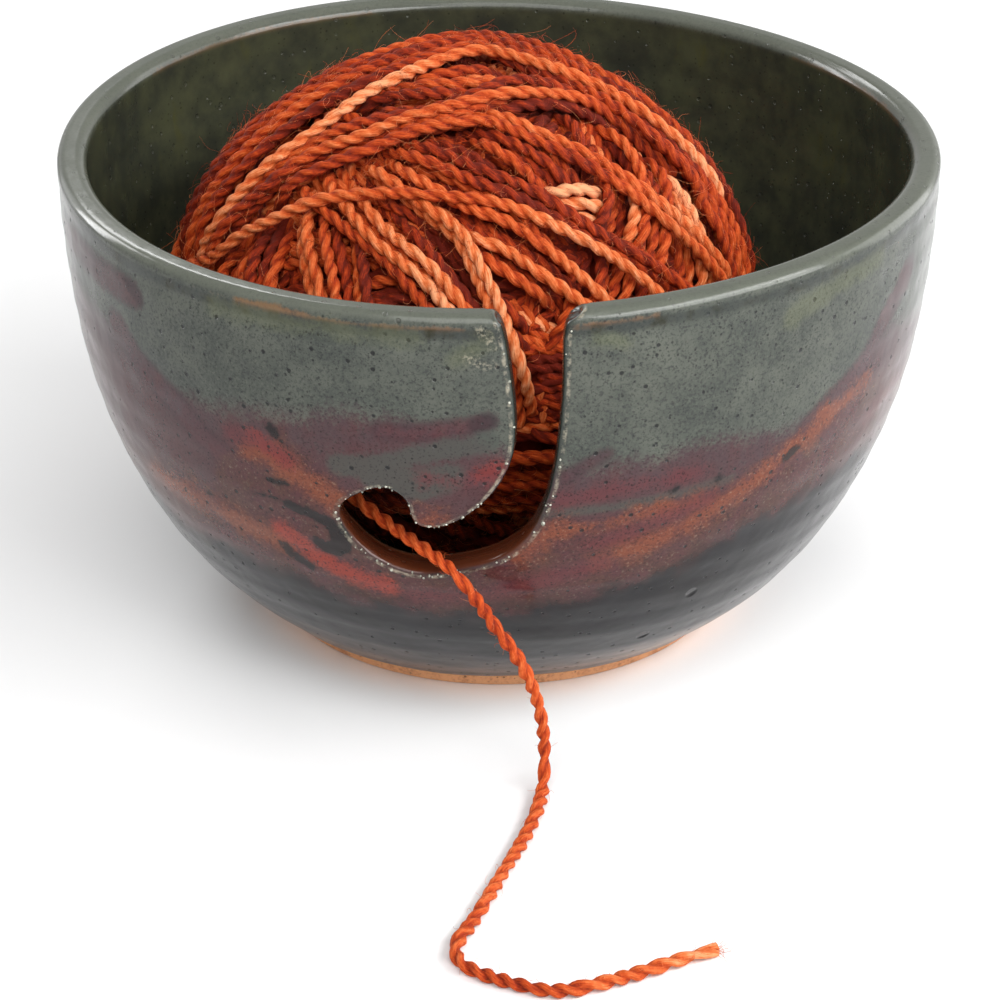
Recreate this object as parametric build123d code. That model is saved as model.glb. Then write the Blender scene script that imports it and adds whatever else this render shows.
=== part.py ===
"""Yarn bowl: a thrown stoneware bowl with a J-shaped yarn slot, and a wound ball of yarn that turns and
lifts out inside it, with the working end of the yarn led through the slot to the table.

Frame: millimetres, +Z up, origin at the centre of the foot's underside.  The slot faces -Y, +X is right.
"""

import os
from math import radians, tan

from build123d import *

os.makedirs("parts", exist_ok=True)

# ---- bowl: driving dimensions -----------------------------------------------------------------------
BOWL_R = 75.0            # largest outside radius, just under the lip
BOWL_H = 85.0            # top of the lip above the table
LIP_INNER_R = 70.0       # mouth of the bowl
LIP_OUTER_ROUND = 1.6    # a crisp shoulder outside, a softer one inside
LIP_INNER_ROUND = 2.0
FOOT_R = 40.6            # bare clay foot
FOOT_H = 2.8
FOOT_EDGE = 0.6          # small round at the foot's lower corner
FOOT_DRAFT = 0.5         # the foot widens a little towards the glaze line
RECESS_R = 32.0          # shallow hollow turned under the foot
RECESS_DEPTH = 1.2
FLOOR_Z = 7.8            # inside floor above the table
FLOOR_FLAT_R = 21.9

# (radius, height) where one arc of the thrown wall runs into the next, from the lip down
OUTER_WALL = [(73.0, 56.1), (62.8, 25.5), (42.6, FOOT_H + 0.4)]
INNER_WALL = [(67.2, 56.0), (56.4, 27.8), (FLOOR_FLAT_R, FLOOR_Z)]

# ---- J slot: outline as seen from the front, (x, z) -------------------------------------------------
SLOT_TOP_Z = BOWL_H + 4
RIM_FLARE = 2.4          # the slot opens a little where it meets the rim
RIM_FLARE_Z = BOWL_H - 3.6
RIM_CORNER = [(11.0, 83.9), (12.4, 84.6)]    # round of the slot's right corner
STEM_RIGHT_X = 10.0
STEM_LEFT_X = 0.9
SLOT_RIGHT_SIDE = [(9.6, 66.0), (6.6, 49.0), (-0.5, 39.9), (-12.4, 36.2), (-21.6, 40.4), (-25.2, 47.0)]
SLOT_EYE_TOP = [(-22.6, 51.2), (-17.6, 53.5), (-14.2, 50.0)]
SLOT_BEAK = [(-13.6, 47.6), (-12.6, 46.5), (-10.8, 46.2)]
SLOT_FINGER = [(-4.3, 49.6), (1.1, 57.0), (2.6, 66.0)]
SLOT_NEAR_Y = 50.0       # the cut starts this far in front of the centre, inside the bowl
SLOT_FAR_Y = 90.0

# ---- ball of yarn -----------------------------------------------------------------------------------
BALL_X = -5.0
BALL_Y = 2.0
BALL_R = 51.0            # half the ball's width
BALL_HALF_H = 46.0       # half its height: it sits a little squashed
BALL_CLEAR = 0.5         # gap left under the ball
ROUND_HANDLE = 0.5523    # handle length that makes a cubic curve a quarter of an ellipse
CORE_R = 12.0            # the first windings, inside the ball
CORE_CLEAR = 0.3

# ---- working end of the yarn: the route's points, from the ball out to the cut tip ------------------
YARN_D = 2.4
TABLE_Z = YARN_D / 2 + 0.05
TAIL_ROUTE = [
    (-36.5, -40.6, 50.4),
    (-30.2, -49.2, 48.6),
    (-23.2, -56.2, 46.0),
    (-16.6, -61.4, 44.0),
    (-11.4, -66.2, 42.2),
    (-7.0, -71.2, 40.2),
    (-3.8, -73.6, 35.6),
    (-0.4, -73.6, 29.8),
    (2.6, -72.8, 24.0),
    (5.4, -72.0, 18.0),
    (7.0, -71.6, 13.3),
    (7.5, -71.6, 6.4),
    (7.2, -76.5, 1.5),
    (6.3, -83.6, TABLE_Z),
    (4.2, -91.4, TABLE_Z),
    (1.2, -99.4, TABLE_Z),
    (-1.6, -106.8, TABLE_Z),
    (-4.0, -113.2, TABLE_Z),
    (-6.5, -118.2, TABLE_Z),
    (-6.3, -123.0, TABLE_Z),
    (-2.8, -126.2, TABLE_Z),
    (2.6, -128.8, TABLE_Z),
    (8.4, -131.0, TABLE_Z),
    (14.8, -128.8, TABLE_Z),
    (21.2, -125.9, TABLE_Z),
    (27.4, -122.3, TABLE_Z),
    (33.2, -119.8, TABLE_Z),
]
RUN_SHARE = 0.45         # of the shorter run, taken up by the arc at a corner


def tangent_arcs(start, tangent, stops):
    """Arcs from start through the stops, each leaving in the direction the one before it arrived."""
    arcs = []
    for stop in stops:
        arcs.append(TangentArc(start, stop, tangent=tangent))
        start = arcs[-1] @ 1
        tangent = arcs[-1] % 1
    return arcs


def bowl_blank():
    """The thrown bowl before its slot is cut: one turned profile, foot, wall, lip and hollow."""
    outer_edge = (BOWL_R, BOWL_H - LIP_OUTER_ROUND)
    inner_edge = (LIP_INNER_R, BOWL_H - LIP_INNER_ROUND)
    recess = Polyline((0, RECESS_DEPTH), (RECESS_R - RECESS_DEPTH, RECESS_DEPTH), (RECESS_R, 0))
    base = Line(recess @ 1, (FOOT_R - FOOT_EDGE, 0))
    toe = TangentArc(base @ 1, (FOOT_R, FOOT_EDGE), tangent=(1, 0))
    band = Polyline(toe @ 1, (FOOT_R + FOOT_DRAFT, FOOT_H), OUTER_WALL[-1])
    wall = tangent_arcs(outer_edge, (0, -1), OUTER_WALL)
    shoulder = TangentArc(outer_edge, (BOWL_R - LIP_OUTER_ROUND, BOWL_H), tangent=(0, 1))
    top = Line(shoulder @ 1, (LIP_INNER_R + LIP_INNER_ROUND, BOWL_H))
    inner_shoulder = TangentArc(top @ 1, inner_edge, tangent=(-1, 0))
    hollow = tangent_arcs(inner_edge, (0, -1), INNER_WALL)
    floor = Line(hollow[-1] @ 1, (0, FLOOR_Z))
    axis = Line(floor @ 1, (0, RECESS_DEPTH))
    edges = [recess, base, toe, band, *wall, shoulder, top, inner_shoulder, *hollow, floor, axis]
    profile = make_face(Curve() + edges)
    return revolve(Plane.XZ * profile, Axis.Z, 360)


def slot_cutter():
    """The J: a stem down from the rim, a bend to the left and a round eye that keeps the yarn."""
    corner_mid, corner_end = RIM_CORNER
    right_rim = Line((corner_end[0], SLOT_TOP_Z), corner_end)
    right_corner = ThreePointArc(corner_end, corner_mid, (STEM_RIGHT_X, RIM_FLARE_Z))
    right_side = Spline(right_corner @ 1, *SLOT_RIGHT_SIDE, tangents=[(0, -1), (0, 1)])
    eye = Spline(right_side @ 1, *SLOT_EYE_TOP, SLOT_BEAK[0], tangents=[(0, 1), (0.3, -1)])
    beak = ThreePointArc(*SLOT_BEAK)
    finger = Spline(beak @ 1, *SLOT_FINGER, (STEM_LEFT_X, RIM_FLARE_Z), tangents=[(1, 0.1), (-0.15, 1)])
    left_corner = Line(finger @ 1, (STEM_LEFT_X - RIM_FLARE, SLOT_TOP_Z))
    across = Line(left_corner @ 1, right_rim @ 0)
    outline = Curve() + [right_rim, right_corner, right_side, eye, beak, finger, left_corner, across]
    face = Plane.XZ.offset(SLOT_NEAR_Y) * make_face(outline)
    return extrude(face, SLOT_FAR_Y - SLOT_NEAR_Y, dir=(0, -1, 0))


def ball_of_yarn():
    """The windings, a squashed ball, and the round core of first windings that it turns about."""
    centre_z = FLOOR_Z + BALL_CLEAR + BALL_HALF_H
    place = Pos(BALL_X, BALL_Y, centre_z)
    round_r = ROUND_HANDLE * BALL_R
    round_h = ROUND_HANDLE * BALL_HALF_H
    lower = Bezier((0, -BALL_HALF_H), (round_r, -BALL_HALF_H), (BALL_R, -round_h), (BALL_R, 0))
    upper = Bezier((BALL_R, 0), (BALL_R, round_h), (round_r, BALL_HALF_H), (0, BALL_HALF_H))
    axis = Line(upper @ 1, lower @ 0)
    ball = revolve(Plane.XZ * make_face(Curve() + [lower, upper, axis]), Axis.Z, 360)
    wraps = place * (ball - Sphere(CORE_R + CORE_CLEAR))
    core = place * Sphere(CORE_R)
    return wraps, core


def corner_radii(route):
    """For each inner point, the radius that takes RUN_SHARE of its shorter run."""
    points = [Vector(*point) for point in route]
    radii = []
    for before, corner, after in zip(points, points[1:], points[2:]):
        shorter = min((corner - before).length, (after - corner).length)
        turn = (corner - before).get_angle(after - corner)
        radii.append(RUN_SHARE * shorter / tan(radians(turn / 2)))
    return radii


def yarn_tail():
    """A round tube along the route: straight runs joined by tangent arcs."""
    radii = corner_radii(TAIL_ROUTE)
    path = FilletPolyline(*TAIL_ROUTE, radius=radii)
    section = Plane(origin=path @ 0, z_dir=path % 0) * Circle(YARN_D / 2)
    tube = sweep(section, path)
    print("tail: length", round(path.length, 1), "radii", [round(radius, 1) for radius in radii])
    print("tail: volume over section times length", round(tube.volume / (section.area * path.length), 4))
    return tube


bowl = bowl_blank() - slot_cutter()
wraps, core = ball_of_yarn()
nodes = {
    "bowl": bowl,
    "yarn_ball_wraps": wraps,
    "yarn_ball_core": core,
    "yarn_tail": yarn_tail(),
}
for name, shape in nodes.items():
    export_step(shape, f"parts/{name}.step")
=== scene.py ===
"""The looks of the yarn bowl: a glazed stoneware bowl with a hooked slot, a hand-wound ball of two-ply
wool and the wool's working end, which runs through the slot to the table.

Lengths in the geometry code are millimetres and become metres when a mesh is made; the cord's route,
the camera and the lights are in metres.  Angles round the bowl are counted from the slot, +X side positive.
"""

import functools
import math

import bpy
import numpy as np
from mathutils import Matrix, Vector
from mathutils.geometry import delaunay_2d_cdt
from mathutils.kdtree import KDTree


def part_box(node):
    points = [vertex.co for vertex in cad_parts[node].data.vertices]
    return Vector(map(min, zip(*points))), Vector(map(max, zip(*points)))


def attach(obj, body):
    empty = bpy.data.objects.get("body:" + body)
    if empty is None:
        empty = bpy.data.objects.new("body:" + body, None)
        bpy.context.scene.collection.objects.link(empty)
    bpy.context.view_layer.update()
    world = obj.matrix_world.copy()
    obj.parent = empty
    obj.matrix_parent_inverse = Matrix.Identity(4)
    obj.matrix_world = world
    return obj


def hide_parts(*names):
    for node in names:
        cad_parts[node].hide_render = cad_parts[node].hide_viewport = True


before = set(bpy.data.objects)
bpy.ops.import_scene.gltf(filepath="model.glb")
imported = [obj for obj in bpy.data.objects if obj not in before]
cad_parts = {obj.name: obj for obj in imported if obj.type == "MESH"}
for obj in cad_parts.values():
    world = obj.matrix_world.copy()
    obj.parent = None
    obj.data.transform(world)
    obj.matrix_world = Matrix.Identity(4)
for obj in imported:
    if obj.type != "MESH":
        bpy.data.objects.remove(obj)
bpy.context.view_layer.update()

MM = 0.001

# ---- sizes read from the frame ----------------------------------------------------------------------
bowl_low, bowl_high = (np.array(corner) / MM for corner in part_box("bowl"))
ball_low, ball_high = (np.array(corner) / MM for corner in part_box("yarn_ball_wraps"))
core_low, core_high = (np.array(corner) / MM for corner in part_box("yarn_ball_core"))
BOWL_R = (bowl_high[0] - bowl_low[0]) / 2
BOWL_H = bowl_high[2]
BALL_CENTRE = (ball_low + ball_high) / 2
BALL_R = (ball_high[0] - ball_low[0]) / 2
BALL_HALF_H = (ball_high[2] - ball_low[2]) / 2
CORE_R = (core_high[0] - core_low[0]) / 2

# ---- camera -----------------------------------------------------------------------------------------
CAMERA_PLACE = (0.0002, -0.5317, 0.2928)
CAMERA_DOWN = 27.61      # degrees below the horizon
CAMERA_LENS = 119.74     # on a 36 mm sensor

# ---- working end of the yarn, in metres: the route's points, from the ball to the cut tip -----------
YARN_D = 0.0024
TABLE_Z = 0.00125        # of the yarn's middle where it lies on the table
TAIL_ROUTE = [
    (-0.0365, -0.0406, 0.0504), (-0.0302, -0.0492, 0.0480), (-0.0232, -0.0556, 0.0440),
    (-0.0166, -0.0607, 0.0412), (-0.0115, -0.0652, 0.0397), (-0.0076, -0.0697, 0.0390),
    (-0.0038, -0.0714, 0.0346), (-0.0004, -0.0716, 0.0290), (0.0030, -0.0714, 0.0238),
    (0.0056, -0.0712, 0.0178), (0.0070, -0.0712, 0.0120), (0.0075, -0.0712, 0.0060),
    (0.0073, -0.0750, 0.0014), (0.0063, -0.0816, TABLE_Z), (0.0042, -0.0896, TABLE_Z),
    (0.0012, -0.0980, TABLE_Z), (-0.0016, -0.1062, TABLE_Z), (-0.0040, -0.1132, TABLE_Z),
    (-0.0065, -0.1182, TABLE_Z), (-0.0063, -0.1230, TABLE_Z), (-0.0028, -0.1262, TABLE_Z),
    (0.0026, -0.1288, TABLE_Z), (0.0084, -0.1310, TABLE_Z), (0.0148, -0.1288, TABLE_Z),
    (0.0212, -0.1259, TABLE_Z), (0.0274, -0.1223, TABLE_Z), (0.0332, -0.1198, TABLE_Z),
]


# ==== Helpers ====

def srgb(red, green, blue):
    """Linear colour of the usual 0 to 255 values."""
    values = np.array([red, green, blue]) / 255
    linear = np.where(values <= 0.04045, values / 12.92, ((values + 0.055) / 1.055) ** 2.4)
    return (*(float(value) for value in linear), 1.0)


def smoothstep(low, high, value):
    """0 at low, 1 at high, smooth between; low may be the larger."""
    t = np.clip((value - low) / (high - low), 0, 1)
    return t * t * (3 - 2 * t)


def unit(vectors):
    return vectors / np.linalg.norm(vectors, axis=-1, keepdims=True)


def linked(name, data):
    """A new object with this data, linked to the scene."""
    obj = bpy.data.objects.new(name, data)
    bpy.context.scene.collection.objects.link(obj)
    return obj


def new_object(name, points, quads=(), tris=(), attributes=None):
    """A smooth-shaded mesh object from arrays: points in millimetres, corner indices, values at points."""
    quads = np.asarray(quads, dtype=np.int64).reshape(-1, 4)
    tris = np.asarray(tris, dtype=np.int64).reshape(-1, 3)
    corners = np.concatenate([quads.ravel(), tris.ravel()])
    sizes = np.concatenate([np.full(len(quads), 4), np.full(len(tris), 3)])
    mesh = bpy.data.meshes.new(name)
    mesh.vertices.add(len(points))
    mesh.vertices.foreach_set("co", (np.asarray(points, dtype=np.float64) * MM).ravel())
    mesh.loops.add(len(corners))
    mesh.loops.foreach_set("vertex_index", corners)
    mesh.polygons.add(len(sizes))
    mesh.polygons.foreach_set("loop_start", np.cumsum(sizes) - sizes)
    mesh.update(calc_edges=True)
    mesh.validate()
    mesh.polygons.foreach_set("use_smooth", np.ones(len(mesh.polygons), dtype=bool))
    for key, values in (attributes or {}).items():
        values = np.asarray(values, dtype=np.float32)
        kind = "FLOAT" if values.ndim == 1 else "FLOAT_VECTOR"
        layer = mesh.attributes.new(key, kind, "POINT")
        layer.data.foreach_set("value" if values.ndim == 1 else "vector", values.ravel())
    return linked(name, mesh)


def fit(obj, material, body, node):
    """Gives a piece its material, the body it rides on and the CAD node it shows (or None)."""
    obj.data.materials.append(material)
    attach(obj, body)
    if node:
        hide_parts(node)


def smooth_through(points, step):
    """Points of a natural cubic spline through the given ones, evenly spaced at about step."""
    points = np.array(points, dtype=float)
    spans = np.linalg.norm(np.diff(points, axis=0), axis=1)
    knots = np.concatenate([[0], np.cumsum(spans)])
    count = len(points)
    system = np.eye(count)
    right = np.zeros_like(points)
    for i in range(1, count - 1):
        system[i, i - 1:i + 2] = spans[i - 1], 2 * (spans[i - 1] + spans[i]), spans[i]
        slope_change = (points[i + 1] - points[i]) / spans[i] - (points[i] - points[i - 1]) / spans[i - 1]
        right[i] = 6 * slope_change
    bend = np.linalg.solve(system, right)
    t = np.linspace(0, knots[-1], int(knots[-1] / step * 8))
    i = np.clip(np.searchsorted(knots, t) - 1, 0, count - 2)
    h = spans[i][:, None]
    a = (knots[i + 1] - t)[:, None] / h
    b = 1 - a
    fine = a * points[i] + b * points[i + 1] + ((a**3 - a) * bend[i] + (b**3 - b) * bend[i + 1]) * h * h / 6
    return resample(fine, step)


def lengths_along(line):
    """Length along the line at each of its points."""
    return np.concatenate([[0], np.cumsum(np.linalg.norm(np.diff(line, axis=0), axis=1))])


def resample(line, step, closed=False):
    """The same line with evenly spaced points, about step apart."""
    if closed:
        line = np.vstack([line, line[:1]])
    along = lengths_along(line)
    count = max(2, int(round(along[-1] / step)))
    wanted = np.linspace(0, along[-1], count + 1)
    even = np.stack([np.interp(wanted, along, line[:, axis]) for axis in range(line.shape[1])], axis=1)
    return even[:-1] if closed else even


def grid_quads(rows, columns, closed=False):
    """Corner indices of a grid's cells; its columns wrap round, and its rows too if it is closed."""
    row, column = np.meshgrid(np.arange(rows if closed else rows - 1), np.arange(columns), indexing="ij")
    row, column = row.ravel(), column.ravel()
    next_row, next_column = (row + 1) % rows, (column + 1) % columns
    return np.stack([row * columns + column, row * columns + next_column,
                     next_row * columns + next_column, next_row * columns + column], axis=1)


# ==== Bowl: the turned profile ====

LIP_INNER_R = BOWL_R - 5.0
LIP_OUTER_ROUND = 1.6
LIP_INNER_ROUND = 2.0
FOOT_R = 40.6
FOOT_H = 2.8
GLAZE_LINE_Z = FOOT_H + 0.4
RECESS_R = 32.0
RECESS_DEPTH = 1.2
FLOOR_Z = 7.8
OUTER_STOPS = [(73.0, 56.1), (62.8, 25.5), (42.6, GLAZE_LINE_Z)]
INNER_STOPS = [(67.2, 56.0), (56.4, 27.8), (21.9, FLOOR_Z)]
FINE = 0.1               # spacing of the profile that others are read from


def straight(start, end):
    count = max(2, int(math.dist(start, end) / FINE))
    return np.linspace(start, end, count + 1)


def arc(start, heading, end):
    """Points of the arc that leaves start along heading and ends at end, and its heading there."""
    start, end = np.array(start, dtype=float), np.array(end, dtype=float)
    heading = unit(np.array(heading, dtype=float))
    side = np.array([-heading[1], heading[0]])
    chord = end - start
    radius = chord @ chord / (2 * chord @ side)
    turn = 2 * math.atan2(heading[0] * chord[1] - heading[1] * chord[0], heading @ chord)
    count = max(4, int(abs(turn * radius) / FINE))
    angles = np.linspace(0, turn, count + 1)
    spin = np.stack([np.cos(angles), np.sin(angles)], axis=1)
    arm = -side * radius
    points = start + side * radius + np.stack(
        [arm[0] * spin[:, 0] - arm[1] * spin[:, 1], arm[0] * spin[:, 1] + arm[1] * spin[:, 0]], axis=1)
    ca, sa = spin[-1]
    return points, (heading[0] * ca - heading[1] * sa, heading[0] * sa + heading[1] * ca)


def arc_chain(start, heading, stops):
    pieces = []
    for stop in stops:
        points, heading = arc(start, heading, stop)
        pieces.append(points)
        start = stop
    return np.vstack(pieces)


def bowl_profile():
    """(radius, height) from under the foot, up the outside, over the lip and down inside to the floor.
    Returns the fine line with its length and outward normals, and the rows that the mesh uses."""
    outer_edge = (BOWL_R, BOWL_H - LIP_OUTER_ROUND)
    inner_edge = (LIP_INNER_R, BOWL_H - LIP_INNER_ROUND)
    outer_top = (BOWL_R - LIP_OUTER_ROUND, BOWL_H)
    inner_top = (LIP_INNER_R + LIP_INNER_ROUND, BOWL_H)
    pieces = [          # line, spacing of the mesh's rows
        (straight((0.4, RECESS_DEPTH), (RECESS_R - RECESS_DEPTH, RECESS_DEPTH)), 5.0),
        (straight((RECESS_R - RECESS_DEPTH, RECESS_DEPTH), (RECESS_R, 0)), 0.6),
        (straight((RECESS_R, 0), (FOOT_R - 0.6, 0)), 2.0),
        (arc((FOOT_R - 0.6, 0), (1, 0), (FOOT_R, 0.6))[0], 0.25),
        (straight((FOOT_R, 0.6), (FOOT_R + 0.5, FOOT_H)), 0.7),
        (straight((FOOT_R + 0.5, FOOT_H), OUTER_STOPS[-1]), 0.4),
        (arc_chain(outer_edge, (0, -1), OUTER_STOPS)[::-1], 1.15),
        (arc(outer_edge, (0, 1), outer_top)[0], 0.25),
        (straight(outer_top, inner_top), 0.35),
        (arc(inner_top, (-1, 0), inner_edge)[0], 0.3),
        (arc_chain(inner_edge, (0, -1), INNER_STOPS), 1.6),
        (straight(INNER_STOPS[-1], (0.4, FLOOR_Z)), 3.0),
    ]
    line, rows, done = [], [], 0.0
    for points, spacing in pieces:
        length = np.linalg.norm(np.diff(points, axis=0), axis=1).sum()
        count = max(1, int(round(length / spacing)))
        rows.append(done + np.linspace(0, length, count + 1)[:-1])
        line.append(points[:-1])
        done += length
    line.append(pieces[-1][0][-1:])
    rows.append([done])
    line = np.vstack(line)
    along = lengths_along(line)
    heading = unit(np.gradient(line, axis=0))
    heading = unit(np.stack([np.convolve(np.pad(part, 3, mode="edge"), np.ones(7) / 7, "valid")
                             for part in heading.T], axis=1))
    normal = np.stack([heading[:, 1], -heading[:, 0]], axis=1)
    return line, along, normal, np.concatenate(rows)


PROFILE, ALONG, PROFILE_NORMAL, ROWS = bowl_profile()
LIP_TOP = int(np.argmax(PROFILE[:, 1] + 1e-6 * PROFILE[:, 0]))
LIP_END = len(PROFILE) - 1 - int(np.argmax(PROFILE[::-1, 1] - 1e-6 * PROFILE[::-1, 0]))
LIP_S = float(ALONG[LIP_TOP] + ALONG[LIP_END]) / 2


def outer_s(height):
    """Length along the profile where the outside of the wall has this height."""
    lowest = int(np.searchsorted(ALONG, RECESS_R + 2))
    part = slice(lowest, LIP_TOP + 1)
    return np.interp(height, PROFILE[part, 1], ALONG[part])


def inner_s(height):
    part = slice(LIP_END, len(PROFILE))
    return np.interp(height, PROFILE[part, 1][::-1], ALONG[part][::-1])


# ---- the hand-thrown unevenness ---------------------------------------------------------------------
RIM_WARP = 0.75          # the rim's front right stands this much higher, its front left lower
WALL_LUMP = 0.28
RING_HEIGHT = 0.05       # throwing rings left by the potter's fingers
RING_PITCH = 6.5
LIP_GROOVE = 0.34
GLAZE_ROLL = 0.30        # the glaze ends in a thick roll above the foot


def bowl_points(theta, s, sink=0.0):
    """Points of the bowl's skin at angle theta (radians) and profile length s, sunk along the normal."""
    radius, height, normal_r, normal_z = (
        np.interp(s, ALONG, column) for column in (*PROFILE.T, *PROFILE_NORMAL.T))
    outside = s < LIP_S
    wall = smoothstep(5, 14, height) * (1 - smoothstep(BOWL_H - 8, BOWL_H - 2, height))
    lump = np.sin(2 * theta + 0.6 + height * 0.03) * 0.6 + np.sin(3 * theta - height * 0.05) * 0.4
    rings = np.sin(2 * math.pi * (height + theta) / RING_PITCH + 0.7 * np.sin(theta * 2 + height * 0.1))
    rings = rings + 0.5 * np.sin(2 * math.pi * (height - 0.6 * theta) / (RING_PITCH * 0.43) + 2)
    shift = wall * (WALL_LUMP * lump + RING_HEIGHT * rings * np.where(outside, 1, 1.6))
    shift = shift - outside * LIP_GROOVE * np.exp(-(((height - BOWL_H + 4.4) / 0.9) ** 2))
    roll = GLAZE_LINE_Z + 1.3 + 0.35 * np.sin(5 * theta) + 0.25 * np.sin(11 * theta + 1)
    shift = shift + outside * GLAZE_ROLL * np.exp(-(((height - roll) / 0.8) ** 2))
    shift = shift - sink
    radius = radius + normal_r * shift
    height = height + normal_z * shift + RIM_WARP * np.sin(2 * theta) * smoothstep(35, BOWL_H, height)
    return np.stack([radius * np.sin(theta), -radius * np.cos(theta), height], axis=-1)


# ==== Bowl: the J slot and the mesh round it ====

# (x, z) of the slot's edge seen from the front, from the rim's left corner to its right one
SLOT_EDGE = [
    (-0.4, 85.0), (0.3, 83.6), (0.9, 81.4), (2.0, 74.0), (2.6, 66.0), (2.3, 61.2), (1.0, 56.9), (-1.3, 53.0),
    (-4.3, 49.6), (-7.5, 47.3), (-10.8, 46.2), (-12.7, 46.6), (-13.7, 47.9), (-14.3, 50.2), (-15.5, 52.4),
    (-17.7, 53.5), (-20.1, 52.9), (-22.6, 51.2), (-24.6, 49.3), (-25.2, 47.0), (-24.1, 43.8), (-21.6, 40.4),
    (-17.4, 37.3), (-12.4, 36.2), (-6.4, 37.6), (-0.5, 39.9), (3.9, 43.8), (6.6, 49.0), (8.7, 57.5),
    (9.6, 66.0), (10.0, 74.0), (10.1, 81.0), (10.7, 83.4), (12.4, 85.0),
]
EDGE_STEP = 0.45
EDGE_ROUND = 0.95        # radius of the fired, glazed arris
EDGE_RINGS = [0.05, 0.18, 0.38, 0.65, 0.95, 1.35]
WALL_STEPS = 7
CUT_BELLY = 0.25         # the cut face swells this much between its two edges
COLUMNS = 300
PATCH_COLUMNS = (-24, 16)     # columns of the finely meshed patch round the slot
PATCH_LOW_Z = 31.0
PATCH_R = BOWL_R - 4.0        # radius at which angles are unrolled to lengths
FAR_FROM_SLOT = 99.0          # edge distance given to the skin outside the patch
ON_CUT_FACE = -1.0            # edge distance given to the slot's cut face


def unrolled(x, s):
    """(length round, length up) on the unrolled skin for the front-view x of points at profile length s."""
    return np.stack([np.arcsin(x / np.interp(s, ALONG, PROFILE[:, 0])) * PATCH_R, s], axis=-1)


def slot_boundary():
    """The hole that the slot makes in the unrolled skin, as one closed line: down and up the outside,
    over the lip, down and up the inside, and back over the lip."""
    edge = smooth_through(SLOT_EDGE, EDGE_STEP)
    edge[:, 1] = np.minimum(edge[:, 1], BOWL_H)
    edge[0, 1] = edge[-1, 1] = BOWL_H
    outside = unrolled(edge[:, 0], outer_s(edge[:, 1]))
    inside = unrolled(edge[:, 0], inner_s(edge[:, 1]))
    over = np.linspace(ALONG[LIP_TOP], ALONG[LIP_END], WALL_STEPS + 1)[1:-1]
    right_over = unrolled(np.full(len(over), edge[-1, 0]), over)
    left_over = unrolled(np.full(len(over), edge[0, 0]), over[::-1])
    return edge, np.vstack([outside, right_over, inside[::-1], left_over])


def inside_polygon(points, polygon):
    """Which points lie inside the closed polygon."""
    hit = np.zeros(len(points), dtype=bool)
    for (x0, y0), (x1, y1) in zip(polygon, np.roll(polygon, -1, axis=0)):
        crosses = (y0 > points[:, 1]) != (y1 > points[:, 1])
        if y0 != y1:
            hit ^= crosses & (points[:, 0] < (x1 - x0) * (points[:, 1] - y0) / (y1 - y0) + x0)
    return hit


def distance_to(points, line):
    """Distance from each point to the nearest point of a densely sampled closed line."""
    dense = resample(line, 0.12, closed=True)
    best = np.empty(len(points))
    for start in range(0, len(points), 1500):
        block = points[start:start + 1500, None, :] - dense[None]
        best[start:start + 1500] = np.sqrt((block**2).sum(axis=2)).min(axis=1)
    return best


def edge_sink(distance):
    """How far the skin drops where it rounds over into the slot's cut face."""
    inner = np.clip(EDGE_ROUND - distance, 0, EDGE_ROUND)
    return EDGE_ROUND - np.sqrt(EDGE_ROUND**2 - inner**2)


def patch_border(rows, columns):
    """(row, column) pairs round the patch."""
    pairs = [(row, columns[0]) for row in rows[:-1]] + [(rows[-1], column) for column in columns[:-1]]
    pairs += [(row, columns[-1]) for row in rows[:0:-1]]
    return pairs + [(rows[0], column) for column in columns[:0:-1]]


def patch_mesh(boundary, first_row, last_row):
    """Triangles of the skin round the slot, in the unrolled plane: (points, triangles, border and slot
    corners' indices)."""
    column_step = 2 * math.pi / COLUMNS * PATCH_R
    left, right = PATCH_COLUMNS
    columns = np.arange(left, right + 1) * column_step
    rows = ROWS[first_row:last_row + 1]
    border = np.array([(column, row) for row, column in patch_border(rows, columns)])
    tangent = unit(np.roll(boundary, -1, axis=0) - np.roll(boundary, 1, axis=0))
    away = np.stack([tangent[:, 1], -tangent[:, 0]], axis=1)
    if inside_polygon(boundary + away * 0.01, boundary).mean() > 0.5:
        away = -away
    rings = [boundary + away * gap for gap in EDGE_RINGS]
    rings = [ring[distance_to(ring, boundary) > gap * 0.9] for ring, gap in zip(rings, EDGE_RINGS)]
    fine_columns = np.arange(columns[0], columns[-1], column_step / 2)[1:]
    fine_rows = np.sort(np.concatenate([rows, (rows[1:] + rows[:-1]) / 2]))[1:-1]
    field = np.stack(np.meshgrid(fine_columns, fine_rows), axis=-1).reshape(-1, 2)
    clear = distance_to(field, boundary) > EDGE_RINGS[-1] + 0.45
    field = field[clear & ~inside_polygon(field, boundary)]
    points = np.vstack([border, boundary, *rings, field])
    edges = [(i, (i + 1) % len(border)) for i in range(len(border))]
    start = len(border)
    edges += [(start + i, start + (i + 1) % len(boundary)) for i in range(len(boundary))]
    flat = [Vector(point) for point in points]
    verts, _, faces, origins, _, _ = delaunay_2d_cdt(flat, edges, [], 0, 1e-5, True)
    verts = np.array([tuple(v) for v in verts])
    faces = np.array(faces)
    middle = verts[faces].mean(axis=1)
    faces = faces[~inside_polygon(middle, boundary)]
    index_of = {}
    for i, sources in enumerate(origins):
        for source in sources:
            index_of[source] = i
    border_ids = np.array([index_of[i] for i in range(len(border))])
    slot_ids = np.array([index_of[start + i] for i in range(len(boundary))])
    return verts, faces, border_ids, slot_ids


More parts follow.
